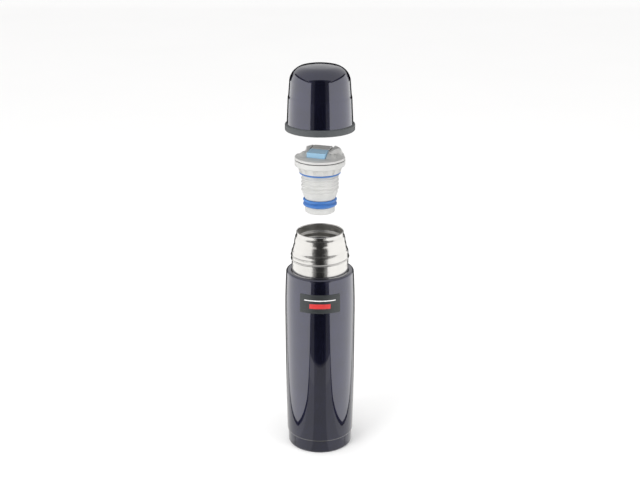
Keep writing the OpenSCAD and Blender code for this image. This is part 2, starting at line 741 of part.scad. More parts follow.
// Glossy plastic liner of the cup, with the cup's own thread
module cup_liner() {
    thread_up = 8;
    color(dark_plastic) at_cup() {
        rotate_extrude() sheet(moved(cup_outline(), cup_wall + weld_gap), liner_wall);
        translate([0, 0, thread_up])
            thread(liner_r, -liner_thread_h, 2.2, cup_thread_pitch, cup_thread_turns);
    }
}

// Plastic ring round the cup's rim
module cup_rim() {
    r_out = cup_foot_r + rim_out;
    r_in = cup_foot_r + ring_gap;
    lip_in = liner_r + 0.1;
    color(dark_plastic) at_cup() rotate_extrude() polygon([[lip_in, 0], [r_out - 0.5, 0], [r_out, 0.5],
        [r_out, rim_h - 1.3], [r_in + 0.4, rim_h], [r_in, rim_h], [r_in, 1.3 - ring_gap], [lip_in, 1.3 - ring_gap]]);
}

outer_shell();
neck_collar();
inner_vessel();
foil_wrap();
outer_bottom();
getter();
vacuum_plug();
base_cap();
badge_plate();
stopper_body();
stopper_core();
stopper_cover();
seam_gasket();
deck_plate();
stopper_insulation();
upper_seal();
lower_seal();
valve_seat();
valve_stem();
valve_seal();
stem_seal();
valve_spring();
release_button();
close_key();
key_pin();
cup_shell();
cup_liner();
cup_rim();
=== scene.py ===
"""Looks of a slim vacuum flask, shown taken apart: barrel and neck, push-button stopper, drinking cup.

Every length is in millimetres, except in the materials and on the stage, which are in metres. Heights of
the neck and the vessel are measured from the lip, those of the stopper from the underside of its flange,
those of its top from the seam, and those of the cup from its rim.
"""

import json
import math

import bmesh
import bpy
import numpy as np
from bpy.props import FloatProperty, FloatVectorProperty, IntProperty, PointerProperty
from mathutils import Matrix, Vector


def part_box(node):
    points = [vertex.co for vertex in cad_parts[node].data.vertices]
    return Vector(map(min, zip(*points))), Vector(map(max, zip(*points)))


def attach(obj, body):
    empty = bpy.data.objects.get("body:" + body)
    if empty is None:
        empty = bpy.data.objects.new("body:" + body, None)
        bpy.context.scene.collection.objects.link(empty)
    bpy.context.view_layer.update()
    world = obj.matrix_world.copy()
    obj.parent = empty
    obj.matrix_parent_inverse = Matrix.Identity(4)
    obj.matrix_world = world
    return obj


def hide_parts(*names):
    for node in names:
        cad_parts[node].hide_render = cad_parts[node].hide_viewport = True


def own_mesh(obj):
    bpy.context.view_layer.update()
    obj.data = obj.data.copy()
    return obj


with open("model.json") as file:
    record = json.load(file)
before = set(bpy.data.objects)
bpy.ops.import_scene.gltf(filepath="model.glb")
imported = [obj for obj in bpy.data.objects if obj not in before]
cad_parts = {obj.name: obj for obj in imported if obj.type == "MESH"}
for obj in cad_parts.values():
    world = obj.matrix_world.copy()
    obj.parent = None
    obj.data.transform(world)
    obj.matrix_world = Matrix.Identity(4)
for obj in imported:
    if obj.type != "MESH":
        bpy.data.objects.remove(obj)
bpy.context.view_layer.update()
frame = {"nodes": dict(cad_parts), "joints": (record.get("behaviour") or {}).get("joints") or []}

bl_info = {
    "name": "Vacuum flask looks",
    "version": (1, 0, 0),
    "blender": (4, 5, 0),
    "location": "3D View > Sidebar > Flask",
    "description": "Builds the finished surfaces and materials of a vacuum flask round its packed frame",
    "category": "Object",
}

MM = 0.001
AXES = {joint["name"]: joint for joint in frame["joints"]}


def low(node):
    """Lowest corner of a CAD node, in millimetres."""
    return np.array(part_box(node)[0]) / MM


def high(node):
    """Highest corner of a CAD node, in millimetres."""
    return np.array(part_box(node)[1]) / MM


# Heights of the parts that the outlines are measured from, and of the step over the base cap
LIP = high("neck_collar")[2]
SHOULDER = high("outer_shell")[2]
FLANGE = AXES["stopper_turn"]["pos_m"][2] / MM
SEAM = high("seam_gasket")[2]
RIM = low("cup_rim")[2]
FOOT_STEP = high("base_cap")[2] + 0.5
# How far the button faces to the left of the front, in degrees
BUTTON_TURN = 20.0


# ---- Sizes and colours that a user would change ----

def length(name, default, description):
    """A size in millimetres for the sidebar."""
    return FloatProperty(name=name, description=description, default=default, min=0.0, precision=2)


def colour(name, default, description):
    """A colour for the sidebar."""
    return FloatVectorProperty(name=name, description=description, default=default, subtype="COLOR",
                               size=3, min=0.0, max=1.0)


class FlaskSizes(bpy.types.PropertyGroup):
    """Sizes of the barrel, the neck and the vessel."""
    shell_wall: length("Shell wall", 0.5, "Sheet thickness of the barrel and the neck")
    vessel_wall: length("Vessel wall", 0.4, "Sheet thickness of the inner vessel")
    foot_in: length("Foot taper", 1.1, "How much smaller the barrel's radius is at its foot")
    shoulder_in: length("Shoulder taper", 1.4, "How much smaller the barrel's radius is at its shoulder")
    bulge: length("Widest height", 145.0, "Height at which the barrel is widest")
    neck_thread: length("Neck thread", 0.85, "How far the neck's outer thread stands out")
    bore_thread: length("Bore thread", 0.75, "How far the thread in the mouth stands in")
    around: IntProperty(name="Steps round", description="Steps of each round surface", default=192, min=48,
                        max=512)


class StopperSizes(bpy.types.PropertyGroup):
    """Sizes of the stopper."""
    thread_h: length("Thread height", 1.1, "How far the stopper's thread stands out")
    thread_pitch: length("Thread pitch", 3.9, "Rise of the stopper's thread in one turn")
    notches: IntProperty(name="Notches", description="Shallow notches under the flange", default=14, min=0,
                         max=40)
    notch_depth: length("Notch depth", 0.9, "Depth of those notches")
    edge: length("Edge rounding", 0.5, "Rounding of the moulded edges of the cover, the button and the key")


class CupSizes(bpy.types.PropertyGroup):
    """Sizes of the drinking cup."""
    shell_wall: length("Shell wall", 0.4, "Sheet thickness of the cup's shell")
    liner_wall: length("Liner wall", 0.8, "Wall thickness of the cup's liner")
    thread_h: length("Thread height", 0.9, "How far the cup's thread stands in")


class FinishColours(bpy.types.PropertyGroup):
    """Colours of the finishes."""
    paint: colour("Lacquer", (0.011, 0.012, 0.040), "Metallic lacquer of the barrel and the cup")
    steel: colour("Steel", (0.64, 0.63, 0.61), "Stainless steel")
    light: colour("Light plastic", (0.54, 0.54, 0.527), "Moulded plastic of the stopper")
    sky: colour("Button", (0.38, 0.64, 0.86), "Plastic of the push button")
    silicone: colour("Silicone", (0.045, 0.17, 0.46), "Seals of the stopper")
    dark: colour("Dark plastic", (0.06, 0.066, 0.07), "Rim ring of the cup")
    red: colour("Badge bar", (0.62, 0.03, 0.03), "Bar on the badge plate")


def settings(kind):
    """The settings group of that kind."""
    return getattr(bpy.context.scene, kind)


# ---- Surfaces ----

def arc(centre, radius, start, end, steps=8):
    """Points round part of a circle in the (radius, height) plane, from angle start to angle end in
    degrees."""
    a = np.radians(np.linspace(start, end, steps + 1))
    return np.column_stack([centre[0] + radius * np.cos(a), centre[1] + radius * np.sin(a)])


def filleted(*corners):
    """An open outline through corners (r, z, fillet). Each corner with a fillet becomes the arc of that
    radius that touches both of its sides: it starts at fillet * tan(turn / 2) before the corner and ends as
    far behind it."""
    points = [np.array([c[:2]], float) for c in corners]
    for i in range(1, len(corners) - 1):
        fillet = corners[i][2] if len(corners[i]) > 2 else 0
        here = points[i][0]
        before, after = np.array(corners[i - 1][:2]) - here, np.array(corners[i + 1][:2]) - here
        before, after = before / np.linalg.norm(before), after / np.linalg.norm(after)
        turn = math.pi - math.acos(np.clip(before @ after, -1, 1))
        if not fillet or turn < 0.01:
            continue
        middle = (before + after) / np.linalg.norm(before + after)
        centre = here + middle * fillet / math.cos(turn / 2)
        first = here + before * fillet * math.tan(turn / 2) - centre
        second = here + after * fillet * math.tan(turn / 2) - centre
        steps = max(2, int(math.degrees(turn) / 11))
        t = np.linspace(0, 1, steps + 1)[:, None]
        points[i] = centre + (np.sin((1 - t) * turn) * first + np.sin(t * turn) * second) / math.sin(turn)
    return np.vstack(points)


def dense(points, step, where=None, fine=None):
    """The same outline with points added, so that no side is longer than step, or than fine between the two
    heights of where."""
    start, end = points[:-1], points[1:]
    size = np.full(len(start), float(step))
    if where is not None:
        middle = (start[:, 1] + end[:, 1]) / 2
        size[(middle > where[0]) & (middle < where[1])] = fine
    count = np.maximum(1, np.ceil(np.linalg.norm(end - start, axis=1) / size)).astype(int)
    at = np.repeat(np.arange(len(start)), count)
    share = (np.arange(count.sum()) - np.repeat(np.cumsum(count) - count, count)) / count[at]
    return np.vstack([start[at] + (end - start)[at] * share[:, None], points[-1:]])


def moved(points, distance):
    """An open outline moved to its left by a distance, each point along the middle of its two sides'
    normals."""
    d = np.diff(points, axis=0)
    d = d / np.linalg.norm(d, axis=1)[:, None]
    left = np.column_stack([-d[:, 1], d[:, 0]])
    before, after = np.vstack([left[:1], left]), np.vstack([left, left[-1:]])
    middle = before + after
    middle /= np.linalg.norm(middle, axis=1)[:, None]
    out = points + middle * (distance / np.maximum((middle * before).sum(1), 0.5))[:, None]
    out[points[:, 0] < 1e-6, 0] = 0
    return out


def walled(points, thickness):
    """A closed outline: an open one and its copy moved to the left by the wall's thickness. Where the open
    one ends on the axis, the closed one starts and ends there."""
    return np.vstack([moved(points, thickness)[::-1], points])


def barrel_r(z):
    """Radius of the barrel at height z. It is widest at the widest height, and shrinks with the square of
    the distance from there, down to the foot and up to the shoulder."""
    sizes = settings("flask_sizes")
    below = sizes.foot_in * ((sizes.bulge - z) / (sizes.bulge - FOOT_STEP)) ** 2
    above = sizes.shoulder_in * ((z - sizes.bulge) / (SHOULDER - sizes.bulge)) ** 2
    return high("outer_shell")[0] - np.where(z < sizes.bulge, below, above)


def ease(x, start, end):
    """0 before start, 1 after end, and a smooth S between them: 3 t^2 - 2 t^3."""
    t = np.clip((x - start) / (end - start), 0, 1)
    return t * t * (3 - 2 * t)


def helix(angle, z, start, pitch, turns, width):
    """Height, from 0 to 1, of a rounded right-hand thread at an angle and a height. The distance to the
    nearest turn along z is d, and the ridge is (1 + cos(2 pi d / width)) / 2. It fades over the first and
    last eighth of a turn."""
    lead = (z - start) / pitch - angle / (2 * math.pi)
    turn = np.round(lead)
    d = (lead - turn) * pitch
    ridge = np.where(np.abs(d) < width / 2, (1 + np.cos(2 * math.pi * d / width)) / 2, 0)
    along = turn + angle / (2 * math.pi)
    return ridge * ease(along, 0, 0.12) * (1 - ease(along, turns - 0.12, turns))


def grid_faces(rows, columns, close_rows=False):
    """Quads of a grid whose columns close on themselves, as an array of four indices each."""
    i = np.arange(rows if close_rows else rows - 1)[:, None]
    j = np.arange(columns)[None, :]
    k, m = (i + 1) % rows, (j + 1) % columns
    return np.stack([i * columns + j, i * columns + m, k * columns + m, k * columns + j],
                    axis=-1).reshape(-1, 4)


def make_mesh(name, points, faces):
    """An object at the origin from points in millimetres and quads. Points that meet are welded, which
    closes seams and poles, and faces meeting at over 40 degrees get a sharp edge."""
    mesh = bpy.data.meshes.new(name)
    mesh.vertices.add(len(points))
    mesh.vertices.foreach_set("co", (points * MM).astype(np.float32).ravel())
    mesh.loops.add(faces.size)
    mesh.loops.foreach_set("vertex_index", faces.astype(np.int32).ravel())
    mesh.polygons.add(len(faces))
    mesh.polygons.foreach_set("loop_start", np.arange(0, faces.size, 4, dtype=np.int32))
    mesh.update(calc_edges=True)
    weld = bmesh.new()
    weld.from_mesh(mesh)
    bmesh.ops.remove_doubles(weld, verts=weld.verts, dist=2e-7)
    weld.to_mesh(mesh)
    weld.free()
    mesh.polygons.foreach_set("use_smooth", np.ones(len(mesh.polygons), bool))
    mesh.set_sharp_from_angle(angle=math.radians(40))
    mesh.validate()
    piece = bpy.data.objects.new(name, mesh)
    bpy.context.scene.collection.objects.link(piece)
    return piece


def lathe(name, outline, base, change=None):
    """A surface of revolution. The outline's point (r, z) at angle a goes to (q cos a, q sin a, z + base),
    where q is r plus change(a, r, z). The outline is closed unless both its ends are on the axis."""
    around = settings("flask_sizes").around
    a = np.linspace(0, 2 * math.pi, around, endpoint=False)[None, :]
    r, z = outline[:, :1], outline[:, 1:]
    q = r + (change(a, r, z) if change else 0 * a)
    points = np.stack([q * np.cos(a), q * np.sin(a), (z + base) + 0 * a], axis=-1).reshape(-1, 3)
    to_axis = outline[0, 0] < 1e-6 and outline[-1, 0] < 1e-6
    return make_mesh(name, points, grid_faces(len(outline), around, not to_axis))


def coil(name, radius, wire, start, end, turns, base):
    """A round wire wound round Z with closed ends: at share t of its length its middle is at angle 2 pi
    turns t. Its height is a smooth S of t, flat over the first and last 0.3 of a turn."""
    around, steps = 14, int(turns * 48)
    t = np.linspace(0, 1, steps + 1)
    flat = 0.3 / turns
    a = 2 * math.pi * turns * t
    z = start + wire + (end - start - 2 * wire) * ease(t, flat, 1 - flat)
    middle = np.stack([radius * np.cos(a), radius * np.sin(a), z + base], axis=-1)
    along = np.gradient(middle, axis=0)
    along /= np.linalg.norm(along, axis=1)[:, None]
    out = np.stack([np.cos(a), np.sin(a), 0 * a], axis=-1)
    up = np.cross(along, out)
    thick = np.full(steps + 1, wire)
    thick[[0, -1]] = 0
    b = np.linspace(0, 2 * math.pi, around, endpoint=False)[None, :, None]
    points = middle[:, None] + thick[:, None, None] * (np.cos(b) * out[:, None] + np.sin(b) * up[:, None])
    return make_mesh(name, points.reshape(-1, 3), grid_faces(steps + 1, around))


# ---- Frames of the stopper's top ----

def block_path(x0, x1, y0, y1, radius, inset, steps=18, side=16):
    """Points round a rectangle with round corners, inset by a distance: four arcs of that many steps, and
    that many even points along each side, anticlockwise from the upper end of the right side."""
    radius = max(radius - inset, 0.05)
    x0, x1, y0, y1 = x0 + inset, x1 - inset, y0 + inset, y1 - inset
    corners = [((x1 - radius, y1 - radius), 0), ((x0 + radius, y1 - radius), 90),
               ((x0 + radius, y0 + radius), 180), ((x1 - radius, y0 + radius), 270)]
    path = np.vstack([arc(c, radius, a, a + 90, steps) for c, a in corners])
    path = np.vstack([path, path[:1]])
    straight = np.linalg.norm(np.diff(path, axis=0), axis=1) > 1
    return np.vstack([np.linspace(p, q, side, endpoint=False) if far else p[None]
                      for p, q, far in zip(path[:-1], path[1:], straight)])


def rings_mesh(name, rings, base):
    """A closed surface through rings of the same number of points, from the middle of its underside to the
    middle of its top. A ring is an array of (x, y, z); the stopper's top is turned about the axis by
    BUTTON_TURN."""
    x, y, z = np.moveaxis(np.stack(rings), -1, 0)
    a = -math.radians(BUTTON_TURN)
    points = np.stack([x * math.cos(a) - y * math.sin(a), x * math.sin(a) + y * math.cos(a), z + base],
                      axis=-1)
    return make_mesh(name, points.reshape(-1, 3), grid_faces(*x.shape))


def raised(path, z):
    """A ring from a flat path and heights."""
    return np.column_stack([path, np.broadcast_to(z, len(path))])


# ---- Materials ----

class Field:
    """A value on the surface, held as a node socket. Arithmetic on it adds Math nodes."""

    def __init__(self, graph, socket):
        self.graph, self.socket = graph, socket

    def _math(self, operation, *values):
        return self.graph.node("ShaderNodeMath", {"operation": operation}, dict(enumerate(values)))

    def __add__(self, other):
        return self._math("ADD", self, other)

    def __radd__(self, other):
        return self._math("ADD", other, self)

    def __sub__(self, other):
        return self._math("SUBTRACT", self, other)

    def __rsub__(self, other):
        return self._math("SUBTRACT", other, self)

    def __mul__(self, other):
        return self._math("MULTIPLY", self, other)

    def __rmul__(self, other):
        return self._math("MULTIPLY", other, self)

    def __truediv__(self, other):
        return self._math("DIVIDE", self, other)

    def __pow__(self, other):
        return self._math("POWER", self, other)

    def step(self, start, end):
        """0 below start, 1 above end, smooth between."""
        return self.graph.node("ShaderNodeMapRange", {"interpolation_type": "SMOOTHSTEP"},
                               {0: self, 1: start, 2: end, 3: 0.0, 4: 1.0})


class Graph:
    """The node tree of a material with one Principled shader."""

    def __init__(self, name):
        self.material = bpy.data.materials.new(name)
        self.material.use_nodes = True
        self.tree = self.material.node_tree
        self.shader = self.tree.nodes["Principled BSDF"]

    def node(self, kind, choices, values, output=0):
        """Adds a node: its choices are set first, then the values or links of its sockets. Gives one
        output."""
        node = self.tree.nodes.new(kind)
        for name, choice in choices.items():
            if name == "stops":
                ramp = node.color_ramp.elements
                while len(ramp) < len(choice):
                    ramp.new(0.5)
                for element, (place, rgb) in zip(ramp, choice):
                    element.position, element.color = place, (*rgb, 1.0)
            else:
                setattr(node, name, choice)
        for name, value in values.items():
            if isinstance(value, Field):
                self.tree.links.new(value.socket, node.inputs[name])
            else:
                node.inputs[name].default_value = value
        return Field(self, node.outputs[output])

    def place(self):
        """x, y and z of the surface point on the object, in metres, and the point itself."""
        point = self.node("ShaderNodeTexCoord", {}, {}, "Object")
        x, y, z = (self.node("ShaderNodeSeparateXYZ", {}, {0: point}, i) for i in range(3))
        return x, y, z, point

    def noise(self, point, scale, detail=3.0, rough=0.55):
        """Fractal noise from 0 to 1."""
        return self.node("ShaderNodeTexNoise", {}, {"Vector": point, "Scale": scale, "Detail": detail,
                                                    "Roughness": rough}, "Fac")

    def cells(self, point, scale, feature="F1", output="Distance"):
        """Voronoi cells."""
        return self.node("ShaderNodeTexVoronoi", {"feature": feature}, {"Vector": point, "Scale": scale},
                         output)

    def mix(self, share, first, second):
        """A blend of two colours."""
        def rgba(c):
            return c if isinstance(c, Field) else (*c, 1.0)
        return self.node("ShaderNodeMix", {"data_type": "RGBA"},
                         {0: share, 6: rgba(first), 7: rgba(second)}, 2)

    def rings(self, along, across=1.5):
        """A point for noise that is drawn out round the Z axis, as tool marks on a spun part are: its third
        value runs fast with height and radius, and the other two slowly with the direction."""
        x, y, z, _ = self.place()
        r = (x * x + y * y) ** 0.5
        return self.node("ShaderNodeCombineXYZ", {},
                         {0: x / r * across, 1: y / r * across, 2: (z + r) * along})

    def bump(self, height, distance, strength=1.0, under=None):
        """Bumps of a depth in metres, on top of any under them."""
        values = {"Height": height, "Distance": distance, "Strength": strength}
        if under is not None:
            values["Normal"] = under
        return self.node("ShaderNodeBump", {}, values)

    def finish(self, **values):
        """Sets the shader's sockets and gives the material. Underscores in a name stand for spaces."""
        for name, value in values.items():
            socket = self.shader.inputs[name.replace("_", " ")]
            if isinstance(value, Field):
                self.tree.links.new(value.socket, socket)
            elif isinstance(value, tuple):
                socket.default_value = (*value, 1.0)
            else:
                socket.default_value = value
        return self.material


def lacquer(name, bare_below=0.0, part_lines=0.0):
    """Dark metallic lacquer under a clear coat, with fine flakes, a little orange peel and faint wipe
    marks. Below a height in metres the metal is bare. Two thin dark upright lines, with no coat over them
    and a slight groove, lie at an angle, in degrees, to each side of the front, where |x| cos(angle) + y
    sin(angle) is 0."""
    g = Graph(name)
    x, y, z, point = g.place()
    base, steel = (tuple(getattr(settings("flask_finishes"), kind)) for kind in ("paint", "steel"))
    flake = g.cells(point, 5200.0, output="Color")
    sparkle = g.node("ShaderNodeSeparateColor", {}, {0: flake}, 0).step(0.72, 1.0)
    cloud = g.noise(point, 60.0)
    tint = g.mix(cloud.step(0.3, 0.7), tuple(c * 0.86 for c in base), tuple(c * 1.16 for c in base))
    tint = g.mix(sparkle * 0.4, tint, (0.05, 0.05, 0.09))
    relief = g.bump(g.noise(point, 420.0, 1.0), 0.000012, 0.5)
    metal, coat = 0.85, 1.0
    if bare_below:
        bare = 1 - z.step(bare_below - 0.0002, bare_below)
        tint = g.mix(bare, tint, steel)
        metal, coat = 0.85 + bare * 0.15, 1 - bare
    # Thin dark upright lines are painted on here, with no coat over them and a slight groove under them.
    if part_lines:
        angle = math.radians(part_lines)
        off = (x * x) ** 0.5 * math.cos(angle) + y * math.sin(angle)
        line = (1 - ((off * off) ** 0.5).step(0.0003, 0.0007)) * z.step(0.0025, 0.003)
        tint = g.mix(line * 0.8, tint, tuple(c * 0.2 for c in base))
        coat = 1 - line * 0.8
        relief = g.bump(1 - line, 0.00015, 1.0, relief)
    rough = 0.17 + g.noise(point, 26.0, 4.0) * 0.08 + sparkle * 0.05
    return g.finish(Base_Color=tint, Metallic=metal, Roughness=rough, Coat_Weight=coat, Coat_Roughness=0.02,
                    Coat_IOR=1.82, Normal=relief)


def spun_steel(name, grain=5000.0, rough=0.15, depth=0.000004):
    """Stainless steel with fine rings left by spinning, soft smudges and a few longer scratches."""
    g = Graph(name)
    _, _, _, point = g.place()
    fine = g.noise(g.rings(grain), 1.0, 2.0)
    broad = g.noise(g.rings(grain * 0.16, 0.6), 1.0, 2.0)
    smudge = g.noise(point, 48.0, 4.0)
    steel = tuple(settings("flask_finishes").steel)
    tint = g.mix(smudge.step(0.35, 0.75), steel, tuple(c * 0.93 for c in steel))
    tint = g.mix(fine.step(0.45, 0.7) * 0.25, tint, tuple(c * 0.8 for c in steel))
    return g.finish(Base_Color=tint, Metallic=1.0,
                    Roughness=rough + fine * 0.06 + smudge.step(0.4, 0.8) * 0.04,
                    Normal=g.bump(fine + broad * 1.5, depth, 0.7))


def moulded(name, base, rough=0.42, grain=2400.0, depth=0.00001, gloss=0.0, deep=None):
    """Moulded plastic or rubber: the fine erosion of the mould, faint flow clouds, and dust-dulled
    patches."""
    g = Graph(name)
    _, _, _, point = g.place()
    base = tuple(base)
    deep = deep or tuple(c * 0.84 for c in base)
    texture = g.noise(point, grain, 2.0, 0.6)
    flow = g.noise(point, 70.0, 3.0)
    dust = g.noise(point, 210.0, 5.0, 0.7)
    tint = g.mix(flow.step(0.35, 0.7) * 0.5, base, deep)
    tint = g.mix(dust.step(0.62, 0.8) * 0.10, tint, (0.75, 0.74, 0.72))
    return g.finish(Base_Color=tint, Roughness=rough + texture * 0.10 + dust.step(0.5, 0.8) * 0.08,
                    Coat_Weight=gloss, Coat_Roughness=0.08, Specular_IOR_Level=0.5,
                    Normal=g.bump(texture, depth, 0.6))


def crinkled_foil(name):
    """Copper foil with the creases of wrapping."""
    g = Graph(name)
    _, _, _, point = g.place()
    crease = g.cells(point, 150.0, "DISTANCE_TO_EDGE")
    fine = g.noise(point, 420.0, 4.0)
    tint = g.mix(fine.step(0.3, 0.7), (0.83, 0.42, 0.26), (0.93, 0.58, 0.42))
    return g.finish(Base_Color=tint, Metallic=1.0, Roughness=0.22 + fine * 0.2,
                    Normal=g.bump(crease.step(0.0, 0.12) + fine * 0.4, 0.0002, 0.8))


def sintered(name, base, grain):
    """Dull, grainy metal, such as a getter pill or a braze bead."""
    g = Graph(name)
    _, _, _, point = g.place()
    pits = g.cells(point, grain)
    # The colour is darker at the bottom of each pit, where the bumps are lowest: painted shade in the pits.
    return g.finish(Base_Color=g.mix(pits.step(0.1, 0.6), tuple(c * 0.6 for c in base), base), Metallic=1.0,
                    Roughness=0.45 + pits * 0.3, Normal=g.bump(pits, 0.00008, 0.8))


def foam(name):
    """Fine closed foam."""
    g = Graph(name)
    _, _, _, point = g.place()
    cell = g.cells(point, 1500.0)
    return g.finish(Base_Color=g.mix(cell.step(0.1, 0.7), (0.92, 0.9, 0.82), (0.74, 0.71, 0.6)),
                    Roughness=0.9,
                    Normal=g.bump(cell, 0.0002, 0.9))


def drawn_wire(name):
    """Bright drawn wire with marks along it."""
    g = Graph(name)
    _, _, _, point = g.place()
    marks = g.noise(point, 2600.0, 3.0)
    return g.finish(Base_Color=g.mix(marks.step(0.4, 0.7), (0.62, 0.62, 0.64), (0.5, 0.5, 0.52)),
                    Metallic=1.0,
                    Roughness=0.14 + marks * 0.16, Normal=g.bump(marks, 0.000008, 0.7))


def brushed_plate(name):
    """Dark satin plate with a fine brushed grain round the barrel."""
    g = Graph(name)
    _, _, _, point = g.place()
    line = g.noise(g.rings(5200.0, 4.0), 1.0, 2.0)
    patch = g.noise(point, 90.0, 3.0)
    tint = g.mix(line.step(0.35, 0.7), (0.026, 0.030, 0.032), (0.040, 0.045, 0.047))
    return g.finish(Base_Color=tint, Metallic=0.2, Roughness=0.36 + patch * 0.1,
                    Coat_Weight=0.1, Coat_Roughness=0.2, Normal=g.bump(line, 0.000006, 0.6))


def material(name, maker, *values, **choices):
    """The finish of that name, made once."""
    name = "finish_" + name
    return bpy.data.materials.get(name) or maker(name, *values, **choices)


def dress(piece, finish, slot, body, *nodes):
    """Gives a piece its material, puts it on its body, and hides the CAD nodes that it stands for.
    The slot argument is not used."""
    piece.data.materials.clear()
    piece.data.materials.append(finish)
    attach(piece, body)
    if nodes:
        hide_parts(*nodes)
    return piece


def dress_node(node, finish):
    """Gives a CAD node a detailed material."""
    slots = frame["nodes"][node].data.materials
    slots.clear()
    slots.append(finish)


def light_plastic():
    """Light grey plastic of the stopper."""
    return material("light_plastic", moulded, settings("flask_finishes").light, 0.40)


def dark_plastic():
    """Dark grey plastic of the cup's ring and the valve's stem."""
    return material("dark_plastic", moulded, settings("flask_finishes").dark, 0.42)


def silicone():
    """Blue silicone of the seals."""
    return material("blue_silicone", moulded, settings("flask_finishes").silicone, 0.38, 3200.0, 0.000006,
                    deep=(0.03, 0.11, 0.36))


def vessel_steel():
    """Steel of the vessel, with a duller and coarser grain than the neck's."""
    return material("vessel_steel", spun_steel, 1500.0, 0.30, 0.000003)


# ---- The flask ----

class FLASK_OT_barrel(bpy.types.Operator):
    """Painted barrel with its necked skirt, and the base cap under it."""
    bl_idname = "flask.barrel"
    bl_label = "Barrel and base cap"

    def barrel_outline(self, skirt_r, edge):
        """Outline from the skirt's end over the foot's rounded edge and the side to the neck. The
        shoulder's corner is an arc that the side runs into."""
        shoulder_edge = 2.5
        top = SHOULDER - shoulder_edge
        foot_r = high("outer_shell")[0] - settings("flask_sizes").foot_in
        collar_r = high("neck_collar")[0] - 2.55
        z = np.linspace(FOOT_STEP + edge, top, 60)
        side = np.column_stack([barrel_r(z), z])
        return np.vstack([
            [[skirt_r, low("outer_shell")[2]], [skirt_r, FOOT_STEP - 0.15], [skirt_r + 0.15, FOOT_STEP]],
            arc((foot_r - edge, FOOT_STEP + edge), edge, -90, 0, 6), side[1:],
            arc((side[-1, 0] - shoulder_edge, top), shoulder_edge, 8, 90, 9),
            [[collar_r + 0.4, SHOULDER], [collar_r + 0.1, SHOULDER - 0.25]]])

    def cap_outline(self, skirt_r):
        """Outline of the base cap: its underside with two ring ribs and the foot ring, its wall, and its
        inside."""
        r, top = high("base_cap")[0], high("base_cap")[2]
        ring, hollow, inside, rounding = r - 2.0, 1.3, 2.4, 2.0
        return filleted(
            (0, hollow), (2.2, hollow, 0.1), (2.5, hollow + 0.4, 0.1), (3.5, hollow + 0.4, 0.1),
            (3.8, hollow, 0.1), (17.0, hollow, 0.1), (17.3, hollow - 0.35, 0.1),
            (18.7, hollow - 0.35, 0.1), (19.0, hollow, 0.1),
            (ring - 7.2, hollow, 0.5), (ring - 6.0, 0, 0.4), (r, 0, rounding), (r, top, 0.3),
            (skirt_r, top, 0.1), (skirt_r, inside, 0.4), (0, inside))

    def execute(self, context):
        edge, skirt_r = 0.8, high("base_cap")[0] - 1.1
        outline = dense(self.barrel_outline(skirt_r, edge), 2.0)
        barrel = lathe("barrel", walled(outline, settings("flask_sizes").shell_wall), 0.0)
        dress(barrel, material("lacquer", lacquer, (FOOT_STEP + edge) * MM), "paint", "flask",
              "outer_shell")
        cap = lathe("base_cap_finish", dense(self.cap_outline(skirt_r), 1.5), 0.0)
        dress(cap, material("base_lacquer", lacquer, part_lines=51.0), "paint", "flask", "base_cap")
        return {"FINISHED"}


